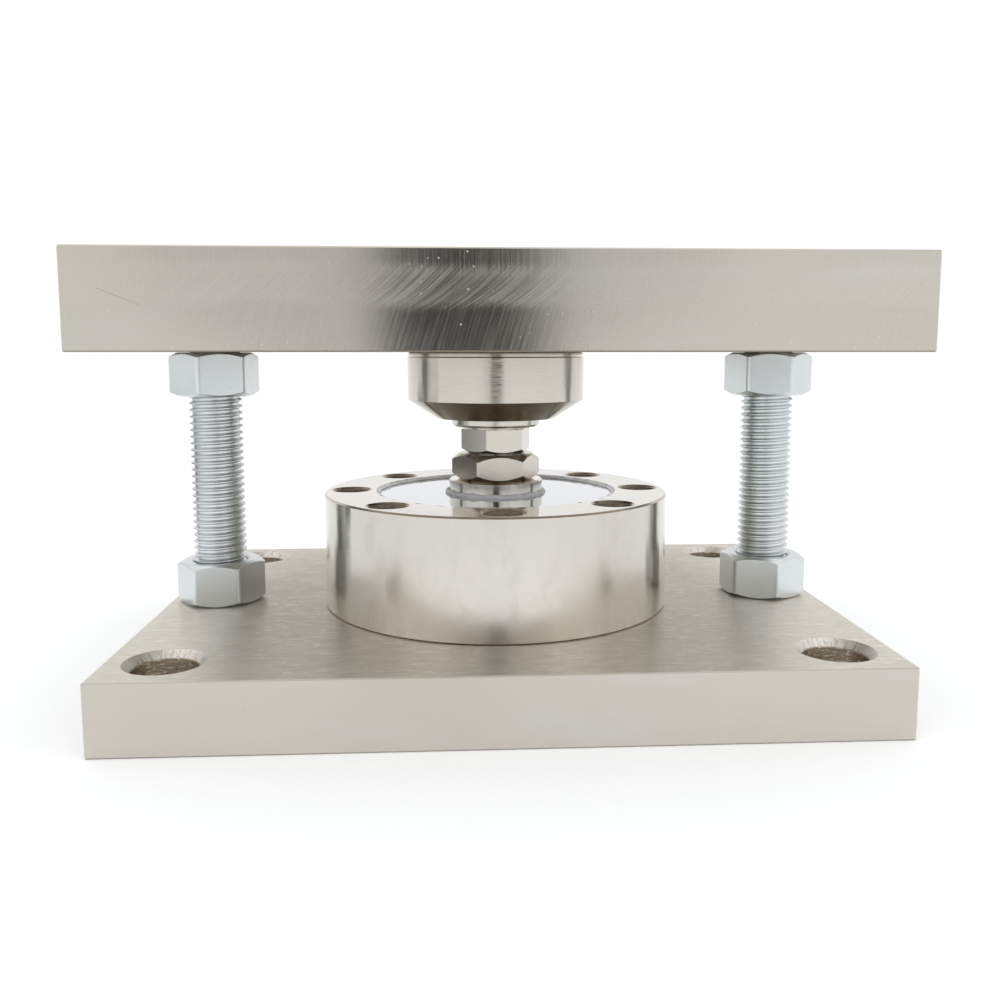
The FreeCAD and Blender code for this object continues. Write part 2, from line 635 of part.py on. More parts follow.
def cell_body():
    """Spring element turned and milled from one billet: rim, spokes, hub and boss."""
    body = new_body("cell_body", CELL_SEAT)
    rim_ring(body)
    spokes(body)
    gauge_pockets(body)
    screw_pockets(body)
    cable_port(body)
    top = "Dim.cell_height + Dim.boss_rise"
    profile = sketch_on(body, "XZ_Plane", "hub_thread_profile")
    bore = "(%s) / 2" % STUD_BORE
    sink = "Dim.nut_sink / 2"
    outline(
        profile,
        [
            ("0", top + " - Dim.hub_thread_depth"), (bore, top + " - Dim.hub_thread_depth"),
            (bore, "%s - (%s - %s)" % (top, sink, bore)), (sink, top), ("0", top),
        ],
    )
    grooved(body, profile, "hub_thread")


def cell_covers():
    """Upper membrane round the boss and closed lower cover, both lying on the rim's ledges."""
    membrane = new_body("top_membrane", CELL_SEAT)
    profile = sketch_on(membrane, "XZ_Plane", "membrane_profile")
    rectangle(
        profile, "Dim.boss_diameter / 2 + Dim.cover_fit", COVER_RADIUS + " - Dim.cover_fit",
        LEDGE_TOP, MEMBRANE_TOP,
    )
    turned(membrane, profile, "membrane_disc")
    cover = new_body("bottom_cover", CELL_SEAT)
    profile = sketch_on(cover, "XZ_Plane", "cover_profile")
    rectangle(profile, "0", COVER_RADIUS + " - Dim.cover_fit", "Dim.cover_gap", LEDGE_BOTTOM)
    turned(cover, profile, "cover_disc")


def sealant_ring(label, wall, sign, width, height):
    """Fillet of sealant in the corner between an upright wall and the membrane."""
    body = new_body(label, CELL_SEAT)
    profile = sketch_on(body, "XZ_Plane", label + "_profile")
    inner = "%s %s Dim.seal_fit" % (wall, sign)
    belly = "%s %s %s * 0.6" % (inner, sign, width)
    outer = "%s %s %s" % (inner, sign, width)
    outline(
        profile,
        [
            (inner, MEMBRANE_TOP), (outer, MEMBRANE_TOP), (belly, "%s + %s * 0.55" % (MEMBRANE_TOP, height)),
            (inner, "%s + %s" % (MEMBRANE_TOP, height)),
        ],
    )
    turned(body, profile, label + "_ring")


def cell_screws():
    """Socket head screws that hold the rim to the base plate."""
    body = new_body("cell_screws", CELL_SEAT)
    under = "(Dim.cell_height - Dim.screw_pocket_depth)"
    top = under + " + Dim.screw_head_height"
    point = under + " - Dim.screw_length"
    shank = "Dim.screw_diameter / 2"
    head = "Dim.screw_head / 2"
    edge = " - Dim.screw_edge"
    centre = {"x": BOLT_RADIUS}
    profile = sketch_on(body, "XZ_Plane", "screw_profile", centre)
    outline(
        profile,
        [
            ("0", point), (shank + edge, point), (shank, point + " + Dim.screw_edge"), (shank, under),
            (head, under), (head, top + edge), (head + edge, top), ("0", top),
        ],
    )
    shaft = turned(body, profile, "screw_shaft")
    plan = sketch_on(body, "XY_Plane", "screw_key_plan", {"x": BOLT_RADIUS, "z": top})
    hexagon(plan, "Dim.screw_key")
    key = pocket(body, plan, "screw_key", "Dim.screw_key_depth")
    patterned(body, [shaft, key], "screws", "Dim.bolt_count")


def gauges_and_board():
    """Foils bonded to the webs in the gauge pockets, and the board where their leads meet."""
    gauges = new_body("strain_gauges", CELL_SEAT)
    foils = []
    for name, sign in (("far", "-"), ("near", "")):
        sketch = sketch_on(gauges, "XZ_Plane", "gauge_plan_" + name, {"z": sign + "Dim.gauge_web / 2"})
        rectangle(
            sketch, GAUGE_RADIUS + " - Dim.gauge_length / 2", GAUGE_RADIUS + " + Dim.gauge_length / 2",
            GAUGE_LEVEL + " - Dim.gauge_width / 2", GAUGE_LEVEL + " + Dim.gauge_width / 2",
        )
        foil = pad(gauges, sketch, "gauge_" + name, "Dim.gauge_thickness")
        foil.Reversed = sign == "-"
        foils.append(foil)
    patterned(gauges, foils, "gauges", "4")
    board = new_body("terminal_board", CELL_SEAT)
    plan = sketch_on(board, "XY_Plane", "board_plan", {"z": "Dim.spoke_lift + Dim.spoke_height"})
    middle = "(" + GAUGE_RADIUS + ")"
    rectangle(
        plan, "-Dim.board_width / 2", "Dim.board_width / 2",
        middle + " - Dim.board_length / 2", middle + " + Dim.board_length / 2",
    )
    pad(board, plan, "board", "Dim.board_thickness")


# ---------------------------------------------------------------------------------------------
# Cable gland: each piece is turned about its own Z axis, which points out of the cell
# ---------------------------------------------------------------------------------------------
def gland_piece(label):
    """Start a piece of the gland, with its origin on the flat milled on the rim."""
    reach = "(Dim.cell_diameter / 2 - Dim.spot_depth)"
    return new_body(
        label, CELL_SEAT + " + Dim.exit_height", reach + " * cos(Dim.exit_angle)",
        reach + " * sin(Dim.exit_angle)", "Dim.exit_angle", "90",
    )


def gland_body():
    """Hexagon with a threaded end on each side and a stepped bore."""
    body = gland_piece("gland_body")
    hexagon_plan = sketch_on(body, "XY_Plane", "gland_hex_plan")
    hexagon(hexagon_plan, "Dim.gland_flats")
    blank = pad(body, hexagon_plan, "gland_hex", "Dim.gland_hex_height")
    rounded_corners(body, blank, "gland_hex_corners", "Dim.gland_corner")
    hex_chamfers(body, "Dim.gland_flats", "Dim.gland_face", "0", "Dim.gland_hex_height", ("high",))
    thread = "Dim.port_diameter / 2 - Dim.gland_fit"
    end = "Dim.gland_hex_height + Dim.gland_neck"
    profile = sketch_on(body, "XZ_Plane", "gland_thread_profile")
    rectangle(profile, "0", thread, "-Dim.gland_spigot", end)
    turned(body, profile, "gland_threads")
    seat = "Dim.gland_seal_diameter / 2 + Dim.gland_fit"
    shoulder = end + " - Dim.gland_seal_length + Dim.gland_nut_gap"
    profile = sketch_on(body, "XZ_Plane", "gland_bore_profile")
    outline(
        profile,
        [
            ("0", "-Dim.gland_spigot"), ("Dim.gland_nut_bore / 2", "-Dim.gland_spigot"),
            ("Dim.gland_nut_bore / 2", shoulder), (seat, shoulder), (seat, end), ("0", end),
        ],
    )
    grooved(body, profile, "gland_bore")


def gland_seal():
    """Rubber ring that grips the cable."""
    body = gland_piece("gland_seal")
    start = "Dim.gland_hex_height + Dim.gland_neck - Dim.gland_seal_length + Dim.gland_nut_gap"
    profile = sketch_on(body, "XZ_Plane", "gland_seal_profile")
    rectangle(
        profile, "Dim.gland_seal_bore / 2", "Dim.gland_seal_diameter / 2",
        start, start + " + Dim.gland_seal_length",
    )
    turned(body, profile, "gland_seal_ring")


def gland_nut():
    """Closed nut that presses the rubber ring."""
    body = gland_piece("gland_nut")
    low = "(Dim.gland_hex_height + Dim.gland_nut_gap)"
    high = low + " + Dim.gland_nut_height"
    plan = sketch_on(body, "XY_Plane", "gland_nut_plan", {"z": low})
    hexagon(plan, "Dim.gland_flats")
    blank = pad(body, plan, "gland_nut_blank", "Dim.gland_nut_height")
    rounded_corners(body, blank, "gland_nut_corners", "Dim.gland_corner")
    hex_chamfers(body, "Dim.gland_flats", "Dim.gland_face", low, high)
    thread = "Dim.port_diameter / 2"
    wall = high + " - Dim.gland_nut_wall"
    profile = sketch_on(body, "XZ_Plane", "gland_nut_profile")
    outline(
        profile,
        [
            ("0", low), (thread, low), (thread, wall), ("Dim.gland_nut_bore / 2", wall),
            ("Dim.gland_nut_bore / 2", high), ("0", high),
        ],
    )
    grooved(body, profile, "gland_nut_bore")


# ---------------------------------------------------------------------------------------------
# Self-aligning foot
# ---------------------------------------------------------------------------------------------
def foot_stud():
    """Threaded stem, hexagon, collar and ball head in one piece; its origin is the hexagon's foot."""
    body = new_body("foot_stud", HEX_BOTTOM, turn="Dim.foot_turn")
    plan = sketch_on(body, "XY_Plane", "foot_plan")
    hexagon(plan, "Dim.foot_flats")
    blank = pad(body, plan, "foot_hex", "Dim.foot_height")
    rounded_corners(body, blank, "foot_hex_corners", "Dim.foot_corner")
    hex_chamfers(body, "Dim.foot_flats", "Dim.foot_face", "0", "Dim.foot_height", ("low",))
    stem = "Dim.stud_diameter / 2"
    point = "-(Dim.jam_gap + Dim.jam_height + Dim.stem_engagement)"
    middle = "Dim.foot_height / 2"
    collar = "Dim.collar_diameter / 2"
    low = "Dim.foot_height + Dim.neck_height"
    head = low + " + Dim.collar_exposed + " + HEAD_SEAT
    crown = head + " + Dim.head_height"
    profile = sketch_on(body, "XZ_Plane", "foot_profile")
    domed_outline(
        profile,
        [
            ("0", point), (stem + " - Dim.stud_end_chamfer", point),
            (stem, point + " + Dim.stud_end_chamfer"),
            (stem, middle), ("Dim.neck_diameter / 2", middle), ("Dim.neck_diameter / 2", low),
            (collar + " - Dim.collar_edge", low), (collar, low + " + Dim.collar_edge"), (collar, head),
            ("Dim.head_diameter / 2", head),
            ("Dim.head_diameter / 2", dome_height("Dim.dome_radius", crown, "Dim.head_diameter / 2")),
        ],
        crown,
    )
    turned(body, profile, "foot_turned")


def cup_housing():
    """Coned cup whose lip keeps the ball head in."""
    body = new_body("cup_housing", CUP_BOTTOM)
    outer = "Dim.cup_diameter / 2"
    profile = sketch_on(body, "XZ_Plane", "cup_profile")
    outline(
        profile,
        [
            ("Dim.cup_lip_bore / 2", "0"), ("Dim.cup_bottom / 2", "0"), (outer, "Dim.cup_cone_height"),
            (outer, "Dim.cup_height - Dim.cup_edge"), (outer + " - Dim.cup_edge", "Dim.cup_height"),
            ("Dim.cup_cavity / 2", "Dim.cup_height"), ("Dim.cup_cavity / 2", "Dim.cup_lip_height"),
            ("Dim.cup_lip_bore / 2", "Dim.cup_lip_height"),
        ],
    )
    turned(body, profile, "cup")


def seat_insert():
    """Hardened seat with a hollow spherical face over the ball head."""
    body = new_body("seat_insert", CUP_BOTTOM)
    outer = "Dim.cup_cavity / 2 - Dim.seat_fit"
    crown = CROWN + " + Dim.seat_fit"
    mouth = "Dim.seat_mouth / 2"
    low = dome_height("(Dim.dome_radius + Dim.seat_fit)", crown, mouth)
    profile = sketch_on(body, "XZ_Plane", "seat_profile")
    domed_outline(profile, [("0", SEAT_TOP), (outer, SEAT_TOP), (outer, low), (mouth, low)], crown)
    turned(body, profile, "seat")


def thrust_lid():
    """Lid that closes the cup, bears on the seat and takes the fixing screw."""
    body = new_body("thrust_lid", CUP_BOTTOM)
    bore = "Dim.cup_screw / 2 + Dim.cup_screw_fit"
    spigot = "Dim.cup_cavity / 2 - Dim.seat_fit"
    outer = "Dim.lid_diameter / 2"
    under = "Dim.cup_height + Dim.lid_gap"
    top = under + " + Dim.lid_flange"
    profile = sketch_on(body, "XZ_Plane", "lid_profile")
    outline(
        profile,
        [
            (bore, SEAT_TOP), (spigot, SEAT_TOP), (spigot, under), (outer, under),
            (outer, top + " - Dim.lid_edge"), (outer + " - Dim.lid_edge", top), (bore, top),
        ],
    )
    turned(body, profile, "lid")


def levelling_shim():
    """Thin bevelled disc between the lid and the top plate."""
    body = new_body("levelling_shim", SHIM_SEAT)
    outer = "Dim.shim_diameter / 2"
    top = "Dim.shim_thickness"
    profile = sketch_on(body, "XZ_Plane", "shim_profile")
    outline(
        profile,
        [
            ("Dim.cup_screw_hole / 2", "0"), (outer, "0"), (outer, top + " - Dim.shim_edge_height"),
            (outer + " - Dim.shim_edge_width", top), ("Dim.cup_screw_hole / 2", top),
        ],
    )
    turned(body, profile, "shim")


def cup_screw():
    """Countersunk screw from the top plate's upper face into the lid."""
    body = new_body("cup_screw", PLATE_TOP)
    head = "Dim.cup_screw_head / 2"
    shank = "Dim.cup_screw / 2"
    cone = "-(Dim.cup_screw_sink / 2 - %s - Dim.cup_screw_fit)" % head
    top = cone + " + Dim.cup_screw_rim"
    point = top + " - Dim.cup_screw_length"
    profile = sketch_on(body, "XZ_Plane", "cup_screw_profile")
    outline(
        profile,
        [
            ("0", point), (shank + " - Dim.screw_edge", point), (shank, point + " + Dim.screw_edge"),
            (shank, "%s - (%s - %s)" % (cone, head, shank)), (head, cone), (head, top), ("0", top),
        ],
    )
    turned(body, profile, "cup_screw_turned")
    plan = sketch_on(body, "XY_Plane", "cup_screw_key_plan", {"z": top})
    hexagon(plan, "Dim.cup_screw_key")
    pocket(body, plan, "cup_screw_key", "Dim.cup_screw_key_depth")


# ---------------------------------------------------------------------------------------------
# Build, check and write
# ---------------------------------------------------------------------------------------------
def check_features(body):
    """Make sure that every cut, fillet and pattern of a body really changed its volume."""
    volume = 0.0
    for feature in body.Group:
        if not feature.isDerivedFrom("PartDesign::Feature"):
            continue
        if abs(feature.Shape.Volume - volume) < 1e-4:
            raise RuntimeError("%s left the volume of %s as it was" % (feature.Name, body.Label))
        if "Groove" in feature.TypeId or "Pocket" in feature.TypeId or "Hole" in feature.TypeId:
            if feature.Shape.Volume > volume:
                raise RuntimeError("%s added to %s" % (feature.Name, body.Label))
        volume = feature.Shape.Volume


base_plate()
top_plate()
for side, sign in (("left", "-"), ("right", "")):
    support_stud(side, sign)
    stud_nuts(side, sign)
cell_body()
cell_covers()
sealant_ring("boss_seal", "Dim.boss_diameter / 2", "+", "Dim.boss_seal_width", "Dim.boss_seal_height")
sealant_ring("rim_seal", COVER_RADIUS, "-", "Dim.rim_seal_width", "Dim.rim_seal_height")
cell_screws()
gauges_and_board()
gland_body()
gland_seal()
gland_nut()
hex_nut(
    "jam_nut", BOSS_TOP, "0", "Dim.jam_turn", "Dim.jam_flats", "Dim.jam_face", "Dim.jam_corner",
    "Dim.jam_height", "Dim.jam_chamfer",
)
foot_stud()
cup_housing()
seat_insert()
thrust_lid()
levelling_shim()
cup_screw()
doc.recompute()

for item in doc.Objects:
    if "Invalid" in item.State or "Error" in item.State:
        raise RuntimeError("%s failed: %s" % (item.Name, item.State))
for body in parts:
    check_features(body)
    if body.Shape.isNull() or not body.Shape.isValid() or not body.Shape.Solids:
        raise RuntimeError("%s has no valid solid" % body.Label)

os.makedirs("parts", exist_ok=True)
for body in parts:
    body.Shape.exportStep("parts/%s.step" % body.Label)
    box = body.Shape.BoundBox
    print(
        "%-20s %2d solid(s) %10.1f mm3  x %7.2f %7.2f  y %7.2f %7.2f  z %7.2f %7.2f"
        % (
            body.Label, len(body.Shape.Solids), body.Shape.Volume,
            box.XMin, box.XMax, box.YMin, box.YMax, box.ZMin, box.ZMax,
        )
    )
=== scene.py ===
from math import pi, radians

import bmesh
import bpy
from bpy.props import (
    FloatProperty, FloatVectorProperty, IntProperty, PointerProperty,
)
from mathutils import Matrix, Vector


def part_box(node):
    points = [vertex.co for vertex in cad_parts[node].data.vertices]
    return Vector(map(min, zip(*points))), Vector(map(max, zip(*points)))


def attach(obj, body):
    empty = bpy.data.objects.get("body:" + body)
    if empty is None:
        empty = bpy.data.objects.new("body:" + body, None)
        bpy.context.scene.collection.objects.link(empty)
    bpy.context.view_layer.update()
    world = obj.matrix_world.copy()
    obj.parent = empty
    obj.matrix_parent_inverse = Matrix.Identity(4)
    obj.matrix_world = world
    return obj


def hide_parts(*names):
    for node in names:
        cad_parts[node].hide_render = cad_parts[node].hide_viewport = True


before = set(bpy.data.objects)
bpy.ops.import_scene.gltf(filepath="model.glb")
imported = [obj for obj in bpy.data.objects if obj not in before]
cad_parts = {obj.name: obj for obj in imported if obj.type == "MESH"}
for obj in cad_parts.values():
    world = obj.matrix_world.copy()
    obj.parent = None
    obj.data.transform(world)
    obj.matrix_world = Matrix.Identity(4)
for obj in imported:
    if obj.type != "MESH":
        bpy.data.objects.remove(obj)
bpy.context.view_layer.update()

bl_info = {
    "name": "Weigh Module Finishes",
    "version": (1, 0, 0),
    "blender": (4, 5, 0),
    "location": "3D View > Sidebar > Weigh Module",
    "description": "Dresses the weigh module: cut threads, sealant beads, metal finishes and a pale studio",
    "category": "Object",
}

MM = 0.001


# ---------------------------------------------------------------------------------------------
# Settings that a user would change
# ---------------------------------------------------------------------------------------------
def length(name, description, default):
    """A size in metres, shown in the scene's unit."""
    return FloatProperty(name=name, description=description, default=default, unit="LENGTH", precision=5)


def colour(name, description, default):
    """A plain colour."""
    return FloatVectorProperty(
        name=name, description=description, default=default, size=3, min=0.0, max=1.0, subtype="COLOR"
    )


class ThreadSettings(bpy.types.PropertyGroup):
    """Sizes of the M16 thread that is cut on both studs."""

    pitch: length("Pitch", "Height of one turn", 2.0 * MM)
    crest: length("Crest", "Flat width of a thread's crest", 0.30 * MM)
    depth: length("Depth", "From crest to root, along the radius", 0.95 * MM)
    clearance: length("Crest clearance", "Crests lie this far inside the stud's plain cylinder", 0.10 * MM)
    steps: IntProperty(name="Steps", description="Faces round one turn", default=56, min=24, max=96)


class SealantSettings(bpy.types.PropertyGroup):
    """Sizes of the two beads of silicone on the cell."""

    boss_bead: length("Boss bead", "Thickness of the bead round the boss", 0.95 * MM)
    rim_bead: length("Rim bead", "Thickness of the bead inside the rim", 0.75 * MM)
    unevenness: length("Unevenness", "How far the thicker bead swells and shrinks", 1.20 * MM)
    wave: length("Wave", "Usual distance between two swellings", 3.4 * MM)


class FinishSettings(bpy.types.PropertyGroup):
    """Colours of the metals and of the sealant."""

    nickel: colour("Nickel", "Nickel plated steel", (0.545, 0.515, 0.458))
    bright_nickel: colour("Bright nickel", "Polished nickel of the cell", (0.610, 0.582, 0.528))
    nut_rounding: length("Nut rounding", "How far the edges of the zinc plated nuts are rounded", 0.60 * MM)
    zinc: colour("Zinc", "Zinc plated studs and nuts", (0.680, 0.710, 0.718))
    membrane: colour("Membrane", "Mirror bright stainless sheet", (0.690, 0.715, 0.750))
    boss_sealant: colour("Boss sealant", "Grey silicone round the boss", (0.600, 0.600, 0.618))
    # Painted light: the rim's silicone is made far paler than the boss's, to make up for the shade of the top
    # plate over the cell
    rim_sealant_painted_light: colour("Rim sealant", "Paler, glossier silicone inside the rim", (0.860, 0.860, 0.870))
    # Thin plating in holes and crevices, and also a painted brown reflection on the hexagon chamfers
    stain_and_painted_reflection: colour("Stain", "Thin plating in holes and crevices", (0.300, 0.205, 0.120))


class StudioSettings(bpy.types.PropertyGroup):
    """Camera, lamps and floor."""

    eye: FloatVectorProperty(
        name="Eye", description="Where the camera stands", size=3, unit="LENGTH",
        default=(-13.44 * MM, -292.09 * MM, 95.06 * MM),
    )
    heading: FloatProperty(
        name="Heading", description="Turn of the view from +Y towards +X", unit="ROTATION",
        default=radians(3.213),
    )
    fall: FloatProperty(
        name="Fall", description="How far the view drops below level", unit="ROTATION",
        default=radians(6.754),
    )
    lens: FloatProperty(name="Lens", description="Focal length in millimetres", default=34.106)
    shift_x: FloatProperty(name="Shift X", description="Sideways shift of the frame", default=-0.0052)
    shift_y: FloatProperty(name="Shift Y", description="Upright shift of the frame", default=-0.0369)
    daylight: colour("Daylight", "Tint of the studio's soft light", (0.965, 0.983, 1.0))
    floor: colour("Floor", "Pale floor", (0.900, 0.900, 0.895))


# ---------------------------------------------------------------------------------------------
# Fields: numbers over a surface, worked out by shader nodes
# ---------------------------------------------------------------------------------------------
class Field:
    """The output of a shader node, which can be calculated with like a number."""

    def __init__(self, tree, socket):
        self.tree = tree
        self.socket = socket

    def calculate(self, operation, *others):
        """What a math node makes of this field and the others."""
        node = self.tree.nodes.new("ShaderNodeMath")
        node.operation = operation
        for number, value in enumerate((self,) + others):
            plug(self.tree, value, node.inputs[number])
        return Field(self.tree, node.outputs[0])

    def __add__(self, other):
        return self.calculate("ADD", other)

    def __radd__(self, other):
        return self.calculate("ADD", other)

    def __sub__(self, other):
        return self.calculate("SUBTRACT", other)

    def __rsub__(self, other):
        return (self * -1.0) + other

    def __mul__(self, other):
        return self.calculate("MULTIPLY", other)

    def __rmul__(self, other):
        return self.calculate("MULTIPLY", other)

    def __truediv__(self, other):
        return self.calculate("DIVIDE", other)

    def size(self):
        return self.calculate("ABSOLUTE")

    def root(self):
        return self.calculate("SQRT")

    def larger(self, other):
        return self.calculate("MAXIMUM", other)

    def smaller(self, other):
        return self.calculate("MINIMUM", other)

    def above(self, low, high):
        """0 below low, 1 above high, with a soft step between them."""
        node = self.tree.nodes.new("ShaderNodeMapRange")
        node.interpolation_type = "SMOOTHSTEP"
        plug(self.tree, self, node.inputs["Value"])
        node.inputs["From Min"].default_value = low
        node.inputs["From Max"].default_value = high
        return Field(self.tree, node.outputs["Result"])

    def below(self, low, high):
        """1 below low, 0 above high, with a soft step between them."""
        return 1.0 - self.above(low, high)

    def between(self, low, high, soft):
        """1 between low and high, 0 outside them, with soft edges."""
        return self.above(low - soft, low) * self.below(high, high + soft)


def plug(tree, value, socket):
    """Give a socket a field, another socket, a number or a colour."""
    if isinstance(value, Field):
        tree.links.new(value.socket, socket)
    elif isinstance(value, bpy.types.NodeSocket):
        tree.links.new(value, socket)
    elif hasattr(value, "__len__") and socket.type == "RGBA":
        socket.default_value = (value[0], value[1], value[2], 1.0)
    else:
        socket.default_value = value


class Finish:
    """One material, with fields for the place and the facing of its surface in millimetres."""

    def __init__(self, name, colour, roughness, metallic=1.0, anisotropic=0.0):
        self.material = bpy.data.materials.new(name)
        self.material.use_nodes = True
        self.tree = self.material.node_tree
        self.shader = self.tree.nodes["Principled BSDF"]
        self.shader.inputs["Metallic"].default_value = metallic
        self.shader.inputs["Anisotropic"].default_value = anisotropic
        self.colour = tuple(colour)
        self.roughness = roughness
        self.bumps = []
        place = self.tree.nodes.new("ShaderNodeTexCoord")
        scale = self.tree.nodes.new("ShaderNodeVectorMath")
        scale.operation = "SCALE"
        scale.inputs["Scale"].default_value = 1.0 / MM
        self.tree.links.new(place.outputs["Object"], scale.inputs[0])
        self.place = scale.outputs[0]
        self.x, self.y, self.z = self.split(self.place)
        self.facing_y, self.facing_z = self.split(place.outputs["Normal"])[1:]
        self.radius = (self.x * self.x + self.y * self.y).root()
        self.angle = self.y.calculate("ARCTAN2", self.x)

    def split(self, socket):
        node = self.tree.nodes.new("ShaderNodeSeparateXYZ")
        self.tree.links.new(socket, node.inputs[0])
        return [Field(self.tree, output) for output in node.outputs]

    def join(self, x, y, z):
        node = self.tree.nodes.new("ShaderNodeCombineXYZ")
        for value, socket in zip((x, y, z), node.inputs):
            plug(self.tree, value, socket)
        return node.outputs[0]

    def noise(self, where=None, stretch=(1.0, 1.0, 1.0), scale=1.0, detail=3.0, roughness=0.5, warp=0.0):
        """Cloudy noise from 0 to 1; stretch gives how often it changes along each direction."""
        spread = self.tree.nodes.new("ShaderNodeVectorMath")
        spread.operation = "MULTIPLY"
        self.tree.links.new(where or self.place, spread.inputs[0])
        spread.inputs[1].default_value = stretch
        node = self.tree.nodes.new("ShaderNodeTexNoise")
        self.tree.links.new(spread.outputs[0], node.inputs["Vector"])
        node.inputs["Scale"].default_value = scale
        node.inputs["Detail"].default_value = detail
        node.inputs["Roughness"].default_value = roughness
        node.inputs["Distortion"].default_value = warp
        return Field(self.tree, node.outputs["Fac"])

    def grooves(self, across, along, often, stretch, least=0.32):
        """Fine uneven lines from 0 to 1; a larger least leaves fewer and thinner ones."""
        grain = self.noise(self.join(across, along, 0.0), (often, stretch, 1.0), 1.0, 2.0, 0.75)
        return ((grain - least) * 2.8).larger(0.0).smaller(1.0)

    def cells(self, scale):
        """Distance to the nearest of many scattered points."""
        node = self.tree.nodes.new("ShaderNodeTexVoronoi")
        self.tree.links.new(self.place, node.inputs["Vector"])
        node.inputs["Scale"].default_value = scale
        return Field(self.tree, node.outputs["Distance"])

    def blend(self, share, other):
        """Mix the colour worked out so far with another one."""
        node = self.tree.nodes.new("ShaderNodeMix")
        node.data_type = "RGBA"
        plug(self.tree, share, node.inputs["Factor"])
        plug(self.tree, self.colour, node.inputs["A"])
        plug(self.tree, other, node.inputs["B"])
        self.colour = node.outputs["Result"]

    def tint(self, strength):
        """Multiply the colour by a field that lies round 1."""
        node = self.tree.nodes.new("ShaderNodeVectorMath")
        node.operation = "SCALE"
        if isinstance(self.colour, tuple):
            node.inputs[0].default_value = self.colour
        else:
            self.tree.links.new(self.colour, node.inputs[0])
        plug(self.tree, strength, node.inputs["Scale"])
        self.colour = node.outputs[0]

    def relief(self, height, depth):
        """Add relief: a field from 0 to 1 and how deep it is, in millimetres."""
        self.bumps.append(height * depth)

    def done(self, across=None):
        """Join all fields to the shader; across is the direction in which its lines blur reflections."""
        plug(self.tree, self.colour, self.shader.inputs["Base Color"])
        plug(self.tree, self.roughness, self.shader.inputs["Roughness"])
        if self.bumps:
            total = self.bumps[0]
            for bump in self.bumps[1:]:
                total = total + bump
            node = self.tree.nodes.new("ShaderNodeBump")
            node.inputs["Distance"].default_value = MM
            node.inputs["Strength"].default_value = 1.0
            plug(self.tree, total, node.inputs["Height"])
            self.tree.links.new(node.outputs[0], self.shader.inputs["Normal"])
        if across == "turned":
            node = self.tree.nodes.new("ShaderNodeTangent")
            node.direction_type = "RADIAL"
            node.axis = "Z"
            self.tree.links.new(node.outputs[0], self.shader.inputs["Tangent"])
            self.shader.inputs["Anisotropic Rotation"].default_value = 0.25
        elif across:
            self.tree.links.new(self.join(*across), self.shader.inputs["Tangent"])
        return self.material


def dress(node, material):
    """Give a CAD node its finish."""
    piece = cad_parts[node]
    piece.data.materials.clear()
    piece.data.materials.append(material)


# ---------------------------------------------------------------------------------------------
# Finishes
# ---------------------------------------------------------------------------------------------
# Places, radii and heights on the solids that the finishes follow, in millimetres
ANCHOR_X = 85.0
ANCHOR_Y = 60.0
ANCHOR_HOLE = 8.2
ANCHOR_SINK = 10.3
RIM_RADIUS = 52.4
RIM_HEIGHT = 34.0
BOLT_CIRCLE = 44.45
POCKET_RADIUS = 5.5
POCKET_MOUTH = 6.2
BOSS_RADIUS = 14.4

# The cutter's arcs on the long edges: radius, and how far their centres lie above the plate
ARC_RADIUS = 44.0
ARC_RISE = 24.7

# One scratch: its left end, its reach along X, its depth below the upper face and how far it falls
SCRATCH_X = -91.3
SCRATCH_LENGTH = 8.6
SCRATCH_DROP = 9.6
SCRATCH_FALL = 3.4


